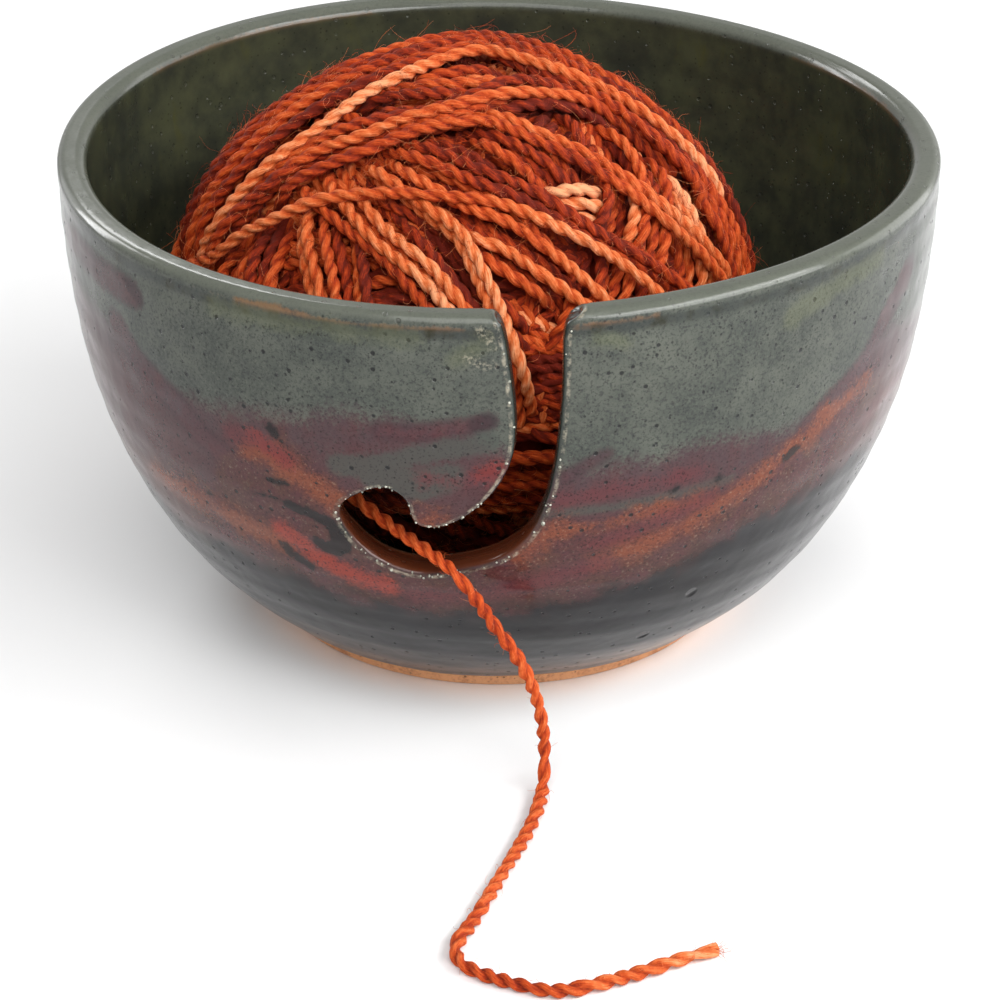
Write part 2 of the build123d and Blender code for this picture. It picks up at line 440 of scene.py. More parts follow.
def bowl_mesh():
    """The whole bowl: a turned grid, the finer patch with the slot in it, and the slot's cut face.
    Returns points, quads, triangles, and for each point its angle, profile length and edge distance."""
    edge, boundary = slot_boundary()
    low_s, high_s = outer_s(PATCH_LOW_Z), inner_s(PATCH_LOW_Z)
    first_row = int(np.searchsorted(ROWS, low_s))
    last_row = int(np.searchsorted(ROWS, high_s))
    left, right = PATCH_COLUMNS
    theta_grid, s_grid = np.meshgrid(np.arange(COLUMNS) * 2 * math.pi / COLUMNS, ROWS)
    theta, s = theta_grid.ravel(), s_grid.ravel()
    row, column = np.meshgrid(np.arange(len(ROWS) - 1), np.arange(COLUMNS), indexing="ij")
    in_patch = (row >= first_row) & (row < last_row) & ((column - left) % COLUMNS < right - left)
    quads = grid_quads(len(ROWS), COLUMNS)[~in_patch.ravel()]
    verts, faces, border_ids, slot_ids = patch_mesh(boundary, first_row, last_row)
    rows = np.arange(first_row, last_row + 1)
    columns = np.arange(left, right + 1) % COLUMNS
    remap = np.arange(len(verts)) + len(theta)
    remap[border_ids] = [row * COLUMNS + column for row, column in patch_border(rows, columns)]
    tris = remap[faces]
    patch_theta, patch_s = verts[:, 0] / PATCH_R, verts[:, 1]
    distance = np.concatenate([np.full(len(theta), FAR_FROM_SLOT), distance_to(verts, boundary)])
    distance[remap[slot_ids]] = 0
    theta = np.concatenate([theta, patch_theta])
    s = np.concatenate([s, patch_s])
    points = bowl_points(theta, s, edge_sink(distance))

    count = len(edge)
    ids = remap[slot_ids]
    outer_ids = ids[:count]
    right_ids = ids[count:count + WALL_STEPS - 1]
    inner_ids = ids[count + WALL_STEPS - 1:2 * count + WALL_STEPS - 1][::-1]
    left_ids = ids[2 * count + WALL_STEPS - 1:][::-1]
    cut = np.zeros((count, WALL_STEPS + 1), dtype=np.int64)
    cut[:, 0], cut[:, -1] = outer_ids, inner_ids
    cut[0, 1:-1], cut[-1, 1:-1] = left_ids, right_ids
    share = np.linspace(0, 1, WALL_STEPS + 1)[1:-1]
    share = share[None, :, None]
    across = points[outer_ids][1:-1, None] * (1 - share) + points[inner_ids][1:-1, None] * share
    flow = unit(np.gradient(edge, axis=0))[1:-1]
    into_gap = np.stack([-flow[:, 1], np.zeros(len(flow)), flow[:, 0]], axis=1)
    from_end = np.minimum(np.arange(1, count - 1), np.arange(count - 2, 0, -1))
    belly = CUT_BELLY * smoothstep(0, 8, from_end)[:, None, None] * np.sin(math.pi * share)
    across = across + into_gap[:, None] * belly
    cut[1:-1, 1:-1] = len(points) + np.arange(across.shape[0] * across.shape[1]).reshape(across.shape[:2])
    points = np.vstack([points, across.reshape(-1, 3)])
    wall_theta = np.arctan2(across[..., 0], -across[..., 1]).ravel()
    share = share[..., 0]
    wall_s = (s[outer_ids][1:-1, None] * (1 - share) + s[inner_ids][1:-1, None] * share).ravel()
    theta = np.concatenate([theta, wall_theta])
    s = np.concatenate([s, wall_s])
    distance = np.concatenate([distance, np.full(len(wall_theta), ON_CUT_FACE)])
    wall_quads = np.stack([cut[:-1, :-1], cut[1:, :-1], cut[1:, 1:], cut[:-1, 1:]], axis=-1).reshape(-1, 4)
    return points, np.vstack([quads, wall_quads]), tris, theta, s, distance


BEADS = 80               # burst glaze bubbles along the slot's outer edge


def bead_mesh():
    """Small domes half sunk in the glaze beside the slot's edge, most of them low down."""
    rng = np.random.default_rng(17)
    edge = smooth_through(SLOT_EDGE, EDGE_STEP)[6:-6]
    flow = unit(np.gradient(edge, axis=0))
    chance = 0.25 + smoothstep(72, 58, edge[:, 1])
    picked = rng.choice(len(edge), BEADS, p=chance / chance.sum())
    gap = rng.uniform(0.15, 0.85, BEADS)
    spots = edge[picked] + np.stack([flow[picked, 1], -flow[picked, 0]], axis=1) * gap[:, None]
    s = outer_s(spots[:, 1])
    theta = np.arcsin(spots[:, 0] / np.interp(s, ALONG, PROFILE[:, 0]))
    centres = bowl_points(theta, s, edge_sink(gap))
    sizes = rng.uniform(0.09, 0.20, BEADS) + 0.12 * rng.uniform(0, 1, BEADS) ** 4
    points, quads, tris = sphere_grid(8, 12)
    stretch = rng.uniform(0.8, 1.25, (BEADS, 1, 3))
    beads = centres[:, None] + points * sizes[:, None, None] * stretch
    first = np.arange(BEADS)[:, None, None] * len(points)
    return beads.reshape(-1, 3), (quads + first).reshape(-1, 4), (tris + first).reshape(-1, 3)


# ==== Bowl: where each glaze lies.  Fields are in millimetres, above zero inside the feature ====

# height of each border between the glazes, by angle: [(angle, height), ...]
LIMITS = {
    # where the grey-green upper glaze ends
    "upper": [
        (-180, 60), (-125, 63), (-85, 62), (-72, 70), (-61, 69), (-53, 65), (-43, 62), (-36, 63),
        (-29, 65), (-23, 65.8), (-18, 67.5), (-14, 66.7), (-9, 66.4), (-5, 67), (-2, 64), (4, 60),
        (9, 57.5), (16, 58), (22, 58.5), (30, 58.5), (38, 57), (44, 57), (52, 62), (60, 66), (80, 60),
        (110, 56), (140, 62), (180, 60)],
    # where the mauve band gives way to the rust below it
    "rust": [
        (-180, 50), (-120, 52), (-75, 44), (-58, 44), (-49, 45.5), (-41, 47), (-35, 56), (-27, 60),
        (-22, 56), (-18, 53), (-8, 50), (5, 49), (12, 48), (20, 49), (30, 50), (38, 53), (46, 57),
        (54, 60), (70, 52), (110, 46), (150, 53), (180, 50)],
    # where the rust sinks into the charcoal lower glaze
    "charcoal": [
        (-180, 33), (-120, 30), (-75, 34), (-63, 33.5), (-54, 31), (-43, 32.4), (-35, 31.4), (-28, 30),
        (-22, 28.5), (-13, 27.8), (-4, 27.8), (4, 29), (12, 31.5), (20, 34), (28, 36.5), (36, 39.5),
        (46, 42), (56, 44), (72, 40), (110, 35), (150, 31), (180, 33)],
}

# strokes of the brush: (half width, [(angle, height), ...])
STROKES = {
    "mauve_stroke": [
        (2.4, [(-74, 76), (-66, 77.3), (-58, 77), (-51.5, 76.9)]),
        (2.6, [(-56, 69), (-52, 65.3), (-48, 62.5), (-44, 59.7), (-41, 56.2), (-36, 52.5)]),
        (1.3, [(-14, 64.5), (-9, 65), (-5, 66), (-1.5, 67)]),
        (2.3, [(64, 74), (61, 71), (57, 67.5), (54, 62.5), (48, 58.5), (43, 55.5)]),
        (0.9, [(8.5, 56.6), (11, 58.8), (13, 60)]),
        (2.2, [(128, 74), (133, 69), (140, 63), (146, 60)]),
        (1.8, [(-128, 72), (-134, 66), (-137, 60)])],
    "mauve_end": [
        (1.1, [(-2.6, 66.6), (-1.2, 67.3)]),
        (0.9, [(-52, 78.4), (-50, 77.6), (-49.6, 76.4)])],
    "green_stroke": [
        (0.7, [(6, 49.4), (14, 49.6), (24, 50.2), (31, 50.6)]),
        (1.7, [(-20, 56.8), (-15, 58.3), (-10, 60.6), (-5, 62.2), (-1.5, 63.6)]),
        (2.6, [(-15, 56), (-10, 55), (-6, 57)])],
    "red_stroke": [
        (1.9, [(-30, 41.2), (-27.5, 39.3), (-25.5, 36.8), (-22.5, 34.9), (-19, 33.4), (-16, 32.6)]),
        (0.8, [(-31.5, 59.5), (-29.5, 57.5), (-27, 56)]),
        (0.7, [(-2.5, 57), (-1, 57.8), (0, 58.6)]),
        (1.4, [(150, 46), (158, 43), (166, 40)])],
    "crimson_stroke": [
        (1.2, [(-35, 58), (-31, 59), (-27, 56.5)]),
        (1.5, [(-12, 31.0), (-6, 31.5), (0, 33), (8, 36), (14, 38.5)]),
        (1.2, [(-9, 56.2), (-4, 56.2), (0, 57.8)]),
        (1.3, [(12, 42.5), (18, 44.5), (24, 46.5), (28, 48)]),
        (1.0, [(6, 52), (16, 53), (26, 53.5)]),
        (1.4, [(58, 50), (66, 52), (74, 50)]),
        (1.6, [(150, 44), (158, 41), (166, 38)]),
        (1.5, [(-120, 44), (-112, 40), (-106, 36)])],
    "charcoal_stroke": [
        (0.5, [(-34, 47.2), (-31, 47.7), (-27, 47.1)]),
        (1.1, [(-28, 47.0), (-25, 46.3), (-22.3, 45.0), (-21, 42.6)]),
        (1.5, [(-21.4, 43.5), (-21.2, 41.2), (-22.2, 39.4)]),
        (1.1, [(-22.2, 39.8), (-23.6, 39.2), (-24.6, 40.2)]),
        (0.8, [(-30.5, 37.4), (-29.4, 35.6), (-27, 33.6)]),
        (0.55, [(-29.2, 62.0), (-28.4, 60.8)]),
        (0.15, [(-31, 51.4), (-27.5, 51.2)]),
        (0.5, [(-42.6, 43.8), (-41.4, 43.0)]),
        (0.7, [(39.5, 50.6), (41.5, 52.2)]),
        (0.6, [(22.4, 51.2), (23.0, 51.4)]),
        (0.5, [(28.6, 51.6), (29.4, 51.8)]),
        (1.3, [(100, 50), (106, 49), (111, 44)]),
        (1.2, [(-150, 52), (-145, 50), (-142, 46)])],
    "orange_stroke": [
        (2.0, [(-33, 57.4), (-29, 56.6), (-26.5, 54.4), (-23, 51.5), (-20.5, 49.5)]),
        (1.8, [(-56, 41), (-50, 40.5), (-44, 41.6), (-40, 40.3), (-35, 39), (-31, 38.4)]),
        (1.3, [(2, 41.5), (6, 45), (10, 46.5), (18, 47.6), (27, 48)]),
        (1.4, [(14, 39), (22, 41.6), (30, 46.5), (37, 50), (43, 54), (50, 57.5), (56, 60)]),
        (2.0, [(-16, 49.5), (-12, 47.5), (-8, 47)]),
        (3.0, [(120, 48), (134, 50), (150, 49)]),
        (2.8, [(-170, 47), (-150, 45), (-135, 48)])],
    "lime_stroke": [
        (1.6, [(38, 77.0), (43, 78.8), (48, 80.2), (54, 81)]),
        (0.9, [(11.8, 80.4), (14.5, 79.6)]),
        (1.0, [(-5, 78), (-3, 79.4), (-1.8, 81)]),
        (1.2, [(-36, 81.4), (-20, 81.6), (-10, 81.4)])],
    "tan_stroke": [
        (0.5, [(-33, 83.0), (-27, 83.3), (-23, 82.9)]),
        (0.16, [(-40, 82.9), (-22, 82.8), (-4, 82.9)]),
        (0.3, [(9, 82.6), (14, 82.9), (19, 83.0)]),
        (0.5, [(98, 83), (112, 83.2), (130, 82.8)]),
        (0.5, [(-160, 83), (-140, 83.2), (-118, 82.9)])],
    # pale cream flecks beside the slot's top left corner
    "pale_flecks": [
        (0.25, [(-3.4, 78.2), (-1.6, 76.8), (-0.6, 76.9)]),
        (0.3, [(-2.0, 82.6), (-0.9, 80.6)])],
}


def limit_at(name, degrees):
    angles, heights = np.array(LIMITS[name], dtype=float).T
    return np.interp(degrees, angles, heights)


def stroke_field(strokes, along_x, height):
    """How far inside the nearest of the strokes each point is, in millimetres."""
    field = np.full(len(height), -30.0)
    for half_width, stations in strokes:
        line = np.array(stations, dtype=float)
        line[:, 0] = np.radians(line[:, 0]) * PATCH_R
        for (x0, z0), (x1, z1) in zip(line[:-1], line[1:]):
            span = np.array([x1 - x0, z1 - z0])
            t = np.clip(((along_x - x0) * span[0] + (height - z0) * span[1]) / (span @ span), 0, 1)
            gap = np.hypot(along_x - x0 - t * span[0], height - z0 - t * span[1])
            field = np.maximum(field, half_width - gap)
    return field


def glaze_fields(points, theta, s, distance):
    """The named point attributes that the glaze material reads."""
    theta = (theta + math.pi) % (2 * math.pi) - math.pi
    degrees = np.degrees(theta)
    height = np.where(distance < 0, points[:, 2], np.interp(s, ALONG, PROFILE[:, 1]))
    fields = {"upper": height - limit_at("upper", degrees), "rust": limit_at("rust", degrees) - height,
              "charcoal": limit_at("charcoal", degrees) - height}
    for name, strokes in STROKES.items():
        fields[name] = stroke_field(strokes, theta * PATCH_R, height)
    return {**fields, "over_lip": s - LIP_S, "height": height, "slot_edge": distance}


# ==== Ball of yarn ====

YARN_R = YARN_D / MM / 2
WOUND_PLIES = (0.37, 0.76)           # how far each ply's centre lies from the strand's, and its radius
FREE_PLIES = (0.48, 0.68)            # the free end isn't pulled thin and round
TWIST_PITCH = 6.3                    # length of a full turn of the two plies
LAY_R = 0.80 * YARN_R                # strands press into each other where they cross
UNDER_DEPTH = 7.5                    # the plain wound mass under the modelled windings
SQUEEZE = BALL_HALF_H / BALL_R


def direction(azimuth, elevation):
    """Unit vector: azimuth counted from the slot towards +X, elevation above the horizon, in degrees."""
    azimuth, elevation = math.radians(azimuth), math.radians(elevation)
    flat = math.cos(elevation)
    return np.array([flat * math.sin(azimuth), -flat * math.cos(azimuth), math.sin(elevation)])


# The windings that show, in the order they were wound: (depth of the strands' centres, strands side by
# side, lightness, its spread, [(azimuth, elevation), ...]) with the places that the band's middle crosses
BANDS = [
    (2.5, 18, 0.40, 0.24, [(-52, -14), (-28, -10), (0, -7), (28, -9), (52, -13)]),
    (2.6, 7, 0.30, 0.18, [(-66, 40), (-60, 33), (-55, 25), (-52, 15)]),
    (2.6, 6, 0.42, 0.32, [(-46, 47), (-38, 38), (-30, 28), (-26, 18)]),
    (2.6, 6, 0.34, 0.28, [(-44, 47), (-26, 42), (-12, 35), (-2, 26)]),
    (2.6, 8, 0.34, 0.24, [(-38, 55), (-16, 52), (-1, 47), (13, 38), (23, 30), (29, 23)]),
    (2.6, 8, 0.38, 0.30, [(-24, 63), (-1, 60), (12, 55), (22, 49), (28, 41), (35, 33), (38, 26)]),
    (2.6, 5, 0.50, 0.34, [(66, 52), (58, 42), (49, 33), (42, 25)]),
    (2.4, 4, 0.52, 0.34, [(52, 50), (48, 42), (42, 36), (37, 30)]),
    (2.4, 3, 0.30, 0.16, [(49, 54), (44, 46), (38, 40), (33, 34)]),
    (2.2, 4, 0.30, 0.16, [(-58, 66), (-10, 74), (40, 73), (75, 60), (80, 40)]),
    (1.9, 2, 0.70, 0.08, [(-52, 50), (-44, 47), (-33, 43), (-24, 38), (-16, 34), (-9, 30), (-3, 24)]),
    (1.9, 1, 0.74, 0.04, [(-47, 53), (-38, 50), (-28, 50), (-18, 48), (-8, 45), (-1, 40), (8, 36), (15, 31),
        (22, 25)]),
    (2.0, 1, 0.74, 0.08, [(-32, 56), (-22, 53), (-10, 50), (2, 46), (12, 42), (18, 37), (24, 30),
        (28, 24)]),
    (1.9, 2, 0.76, 0.10, [(-16, 46), (-9, 43), (-2, 39), (2, 33), (5, 26), (7, 18)]),
    (1.9, 2, 0.34, 0.08, [(-34, 59), (-26, 58), (-9, 55), (4, 51), (15, 47), (24, 41), (30, 36), (40, 28)]),
    (1.6, 2, 0.56, 0.14, [(-44, 51), (-36, 56), (-25, 62), (-5, 66), (10, 66), (22, 62), (33, 56), (42, 49),
        (49, 41), (56, 31), (63, 20)]),
    (1.6, 2, 0.34, 0.08, [(-70, 17), (-67, 26), (-63, 35), (-59, 44), (-52, 54), (-38, 62), (-18, 68),
        (8, 73), (36, 75), (60, 70), (74, 62), (79, 50), (80, 38), (79, 27)]),
    (1.3, 1, 0.52, 0.04, [(-67, 20), (-62, 32), (-57, 41), (-51, 50), (-40, 57), (-27, 64), (-10, 68),
        (8, 71), (33, 71), (54, 67), (69, 60), (74, 51), (76, 41), (76, 31), (75, 22)]),
    (1.5, 6, 0.30, 0.16, [(-79, 16), (-80, 28), (-80, 42), (-82, 57), (-92, 71), (-135, 80), (165, 79),
        (122, 77), (99, 71), (87, 63), (82, 53), (81, 42), (81, 30), (80, 20)]),
    (1.2, 1, 0.76, 0.04, [(-68, 22), (-65, 31), (-63, 41), (-60, 49), (-58, 57), (-59, 67), (-58, 76),
        (-60, 85), (116, 87), (85, 80), (80, 71), (80, 60), (81, 49)]),
    (1.15, 1, 0.68, 0.03, [(-72, 16), (-64, 21), (-58, 28), (-50, 35), (-42, 41), (-31, 45), (-18, 47),
        (-5, 47), (6, 46), (17, 42), (24, 38), (32, 32), (38, 26), (44, 18)]),
]
KNOT_LEVEL = 1.7
BANDS_OVER_KNOT = 14     # the bands from this one on were wound after it
LOOSE_LEVEL = 3.0        # of the windings that fill what the bands leave bare
# short lengths of strands seen in a gap between the bands, right of the middle: lightness, places
KNOT = [
    (0.95, [(20.1, 50.1), (25.5, 48.4), (29.9, 47.1), (34.2, 45.8), (41.8, 43.2)]),
    (0.88, [(21.2, 47.1), (25.9, 45.7), (30.1, 44.4), (34.2, 42.9), (40.1, 40.6)]),
    (0.97, [(22.8, 44), (26.8, 42.7), (30.4, 41.6), (33.9, 40.5), (38.3, 38.6)]),
]
# the strands either side of the gap, which cover the ends of those lengths
KNOT_SIDES = [
    (0.34, [(5, 60.5), (14.8, 54.7), (20.8, 48.9), (24.4, 43.8), (27.7, 38.5)]),
    (0.42, [(47.9, 50.9), (43.3, 44.9), (38.1, 39.6), (33.3, 35.3)]),
]
# the last turn of the wool, which lifts off the ball to meet the working end
LEAD = [(-118, 12), (-104, 8), (-88, 4.5), (-70, 1.5), (-58, -0.5), (-49.2, -1.6), (-43, -3.1), (-36.5, -4.7)]
LEAD_LEVEL = 0.7
LEAD_DIVE, LEAD_DIVE_LENGTH = 5.0, 14.0      # how far its hidden end goes under, over what length
LEAD_RISE, LEAD_RISE_LENGTH = 2.35, 11.0     # how far its other end rises, over what length
MAP_POINTS = 42000


def even_directions(count):
    """Evenly spread unit vectors."""
    i = np.arange(count) + 0.5
    z = 1 - 2 * i / count
    turn = math.pi * (1 + math.sqrt(5)) * i
    flat = np.sqrt(1 - z * z)
    return np.stack([flat * np.cos(turn), flat * np.sin(turn), z], axis=1)


def circle_round(axis, turn):
    """Unit vectors at right angles to the axis, one for each angle of turn."""
    side = unit(np.cross(axis, [0.31, -0.42, 0.85]))
    return side * np.cos(turn)[:, None] + np.cross(axis, side) * np.sin(turn)[:, None]


def loop_on_sphere(axis, colatitude, rng, wobble, step):
    """Unit vectors along a slightly wandering small circle round the axis."""
    count = int(2 * math.pi * math.sin(colatitude) * BALL_R / step)
    turn = np.linspace(0, 2 * math.pi, count, endpoint=False) + rng.uniform(0, 2 * math.pi)
    tilt = colatitude + sum(wobble / k * rng.normal() * np.sin(k * turn + rng.uniform(0, 6.3))
                            for k in (1, 2, 3, 5))
    return axis * np.cos(tilt)[:, None] + np.sin(tilt)[:, None] * circle_round(axis, turn)


def strand_tube(line, outward, sides, rng, plies=WOUND_PLIES, closed=False, untwist_end=0.0):
    """A strand of two plies that turn about each other, swept along evenly spaced points.
    Returns points, quads, coordinates along the fibres and how deep each point is between the plies."""
    if closed:
        tangent = unit(np.roll(line, -1, axis=0) - np.roll(line, 1, axis=0))
    else:
        tangent = unit(np.gradient(line, axis=0))
    normal = unit(outward - (outward * tangent).sum(axis=1, keepdims=True) * tangent)
    across = np.cross(tangent, normal)
    along = lengths_along(line)
    turns = along / TWIST_PITCH + 0.12 * slow_noise(along, rng, 12)
    if closed:
        turns = turns * round(turns[-1] + 0.1) / turns[-1] * (len(line) - 1) / len(line)
    ease = np.ones(len(line))
    if untwist_end:
        ease = 1 - 0.65 * smoothstep(along[-1] - untwist_end, along[-1], along)
        turns = np.concatenate([[0], np.cumsum(np.diff(turns) * ease[1:])])
    twist = 2 * math.pi * turns + rng.uniform(0, 6.28)
    phi = 2 * math.pi * np.arange(sides) / sides
    offset, ply_radius = plies
    radius = offset * np.abs(np.cos(phi)) + np.sqrt(ply_radius**2 - (offset * np.sin(phi)) ** 2)
    size = 1 + 0.05 * np.sin(along / 5.3 + rng.uniform(0, 6.28))
    size = size + 0.04 * np.sin(along / 2.1 + rng.uniform(0, 6.28))
    if not closed:
        ring_number = np.arange(len(line))
        size = size * np.minimum(1, np.minimum(ring_number, ring_number[::-1]) + 0.05)
    angle = twist[:, None] + phi[None]
    reach = size[:, None] * radius[None]
    points = (line[:, None] + normal[:, None] * (reach * np.cos(angle))[..., None]
              + across[:, None] * (reach * np.sin(angle))[..., None])
    quads = np.roll(grid_quads(len(line), sides, closed), -1, axis=1)
    fibre = np.stack([np.cos(angle - 0.4 * twist[:, None]), np.sin(angle - 0.4 * twist[:, None]),
                      np.broadcast_to(along[:, None], angle.shape)], axis=-1).reshape(-1, 3)
    groove = np.broadcast_to(np.abs(np.sin(phi))[None], angle.shape).ravel()
    return points.reshape(-1, 3), quads, fibre, groove


def slow_noise(along, rng, length, count=4):
    """Smooth variation between about -1 and 1 along a strand, with features of about that length."""
    total = np.zeros(len(along))
    for k in range(1, count + 1):
        total += np.sin(along * 2 * math.pi * k / (length * 3.1) + rng.uniform(0, 6.28)) / math.sqrt(k)
    return total / 1.8


class Winding:
    """Strands worked from the outside in: the last one wound lies at the ball's surface, and each strand
    before it passes under those already placed.  A map by direction keeps how deep the strands reach."""

    def __init__(self):
        self.directions = even_directions(MAP_POINTS)
        self.reach = np.zeros(MAP_POINTS)
        self.tree = KDTree(MAP_POINTS)
        for i, point in enumerate(self.directions):
            self.tree.insert(Vector(point), i)
        self.tree.balance()
        self.strands = []

    def near(self, points):
        """Map points beside a strand: their index, which strand point they are beside, sideways distance."""
        reach = (YARN_R + 0.1) / BALL_R
        found = [(index, i, gap) for i, point in enumerate(points)
                 for _, index, gap in self.tree.find_range(Vector(point), reach)]
        found = np.array(found)
        return found[:, 0].astype(int), found[:, 1].astype(int), found[:, 2] * BALL_R

    def bare_share(self):
        return float((self.reach == 0).mean())

    def slip_under(self, points, tone, level, closed=True, dive=0.0):
        """Places a strand as near the surface as its level allows, bending smoothly under the others."""
        index, beside, gap = self.near(points)
        above = self.reach[index]
        rise = np.sqrt(np.maximum(0, LAY_R**2 - np.minimum(gap, LAY_R) ** 2))
        needed = np.full(len(points), level)
        np.maximum.at(needed, beside, np.where(above > 0, above + rise, level))
        depth = needed.copy()
        for _ in range(BEND_STEPS):
            if closed:
                middle = (np.roll(depth, 1) + np.roll(depth, -1)) / 2
            else:
                padded = np.pad(depth, 1, mode="edge")
                middle = (padded[:-2] + padded[2:]) / 2
            eased = (1 - BEND_SHARE) * depth + BEND_SHARE * middle - BEND_RISE
            depth = np.maximum(needed - PRESSED_IN, eased)
        depth = np.clip(depth, level, DEEPEST)
        if dive:
            end = np.minimum(np.arange(len(points)), np.arange(len(points))[::-1]) * SAMPLE_STEP
            depth = depth + DIVE_DEPTH * (1 - smoothstep(0, dive, end))
        shown = np.zeros(len(points))
        np.maximum.at(shown, beside[gap < YARN_R], (above == 0)[gap < YARN_R])
        shown = np.convolve(np.pad(shown, 4, mode="wrap" if closed else "edge"), np.ones(9), "valid") > 0
        bottom = depth[beside] + np.sqrt(np.maximum(0, YARN_R**2 - np.minimum(gap, YARN_R) ** 2))
        inside = gap < YARN_R * 0.98
        np.maximum.at(self.reach, index[inside], bottom[inside])
        self.strands.append((points, depth, tone, closed, shown))


WRAP_SPACING = 2.05      # between neighbouring strands of a band
SAMPLE_STEP = 0.9        # spacing of the points at which a strand's depth is worked out
BEND_STEPS = 30          # in each, a point moves
BEND_SHARE = 0.75        # this share of the way to the middle of its neighbours
BEND_RISE = 0.004        # and this much towards the surface
DIVE_DEPTH = 4.5         # the ends of a band go under by this much
PRESSED_IN = 0.2         # crossing strands press this far into each other
DEEPEST = 6.8
FILLING_BANDS = 90       # at most
BARE_SHARE = 0.0015      # of the surface may show the plain mass below
LEFT_FULLNESS = 2.2      # the ball bulges this much on its left side


def line_on_sphere(places, sideways, extend, step):
    """Unit vectors along a smooth line over the given places, shifted sideways and carried on past both
    ends, both in radians."""
    points = np.array([direction(*place) for place in places])
    first = unit(points[0] * math.cos(extend) - unit(points[1] - points[0]) * math.sin(extend))
    last = unit(points[-1] * math.cos(extend) + unit(points[-1] - points[-2]) * math.sin(extend))
    if extend:
        points = np.vstack([first, points, last])
    line = unit(smooth_through(points, step / BALL_R))
    side = unit(np.cross(line, np.gradient(line, axis=0)))
    return unit(line * math.cos(sideways) + side * math.sin(sideways))


def lay_band(winding, rng, level, count, tone, spread, places, extend=0.5, dive=14.0):
    """Lays neighbouring strands that pass over the given places and go under at both ends."""
    for i in rng.permutation(count):
        sideways = (i - (count - 1) / 2) * WRAP_SPACING / BALL_R
        points = line_on_sphere(places, sideways, extend * rng.uniform(0.8, 1.2), SAMPLE_STEP)
        drift = np.linspace(0, 1, len(points))[:, None]
        side = unit(np.cross(points, np.gradient(points, axis=0)))
        bend = 0.010 * rng.normal() * np.sin(3.1 * drift + rng.uniform(0, 6))
        bend = bend + 0.006 * rng.normal() * np.sin(9 * drift)
        points = unit(points + side * bend)
        winding.slip_under(points, tone + spread * rng.uniform(-1, 1), level, closed=False, dive=dive)


def lay_lead(winding):
    """Lays the last turn: one end goes under, the other rises to the first point of the cord's route."""
    points = line_on_sphere(LEAD, 0, 0, SAMPLE_STEP)
    winding.slip_under(points, 0.5, LEAD_LEVEL, closed=False)
    points, depth, tone, closed, shown = winding.strands.pop()
    passed = np.arange(len(points)) * SAMPLE_STEP
    dive = LEAD_DIVE * (1 - smoothstep(0, LEAD_DIVE_LENGTH, passed))
    depth = depth + dive - LEAD_RISE * (1 - smoothstep(0, LEAD_RISE_LENGTH, passed[::-1]))
    winding.strands.append((points, depth, tone, closed, shown))


def wind_ball():
    rng = np.random.default_rng(11)
    winding = Winding()
    lay_lead(winding)
    for band in BANDS[:BANDS_OVER_KNOT - 1:-1]:
        lay_band(winding, rng, *band)
    for tone, places in KNOT_SIDES:
        lay_band(winding, rng, KNOT_LEVEL - 0.2, 1, tone, 0.02, places, extend=0.12, dive=8.0)
    for tone, places in KNOT:
        lay_band(winding, rng, KNOT_LEVEL, 1, tone, 0.02, places, extend=0.01, dive=2.5)
    for band in BANDS[BANDS_OVER_KNOT - 1::-1]:
        lay_band(winding, rng, *band)
    for _ in range(FILLING_BANDS):
        if winding.bare_share() < BARE_SHARE:
            break
        axis = unit(rng.normal(size=3))
        colatitude = math.acos(rng.uniform(-0.4, 0.4))
        tone = rng.choice([0.15, 0.3, 0.5, 0.8], p=[0.3, 0.3, 0.25, 0.15])
        for i in range(rng.integers(2, 6)):
            turn = colatitude + i * WRAP_SPACING / BALL_R
            points = loop_on_sphere(axis, turn, rng, 0.006, SAMPLE_STEP)
            winding.slip_under(points, tone + rng.uniform(-0.15, 0.15), LOOSE_LEVEL)
    return winding


def ball_place(points, depth):
    """Points in the part's frame, from directions and depths under the ball's surface."""
    bulge = LEFT_FULLNESS * smoothstep(0.2, 1.0, -points[:, 0]) * smoothstep(-0.25, 0.1, points[:, 2])
    return BALL_CENTRE + points * (BALL_R - depth + bulge)[:, None] * np.array([1, 1, SQUEEZE])


STRAND_STEP = 0.62
SIDES = 12               # of a strand's cross-section
PIECE_TRIANGLES = 180000
SHORTEST_RUN = 9         # points; shorter glimpses of a strand are left out


def visible_runs(shown, closed):
    """The stretches of a strand that show, as indices in order, and whether each is a whole loop."""
    if shown.all():
        return [(np.arange(len(shown)), closed)]
    first = int(np.argmin(shown)) if closed else 0
    order = np.roll(np.arange(len(shown)), -first)
    runs = np.split(order, np.flatnonzero(np.diff(shown[order])) + 1)
    return [(run, False) for run in runs if shown[run[0]] and len(run) >= SHORTEST_RUN]


def ball_pieces(winding):
    """The stretches of the windings that show, as tubes in batches of limited size."""
    rng = np.random.default_rng(5)
    batches, batch, triangles = [], [], 0
    for points, depth, tone, closed, shown in winding.strands:
        line = ball_place(points, depth)
        light = tone + 0.20 * slow_noise(lengths_along(line), rng, 38)
        for run, whole in visible_runs(shown, closed):
            rows = np.column_stack([line[run], points[run], light[run], depth[run]])
            detail = finer(rows, STRAND_STEP, whole)
            tube = strand_tube(detail[:, :3], detail[:, 3:6], SIDES, rng, closed=whole)
            tones, depths = (np.repeat(detail[:, column], SIDES) for column in (6, 7))
            batch.append((*tube, tones, depths))
            triangles += 2 * len(tube[1])
            if triangles > PIECE_TRIANGLES:
                batches.append(batch)
                batch, triangles = [], 0
    if batch:
        batches.append(batch)
    return batches


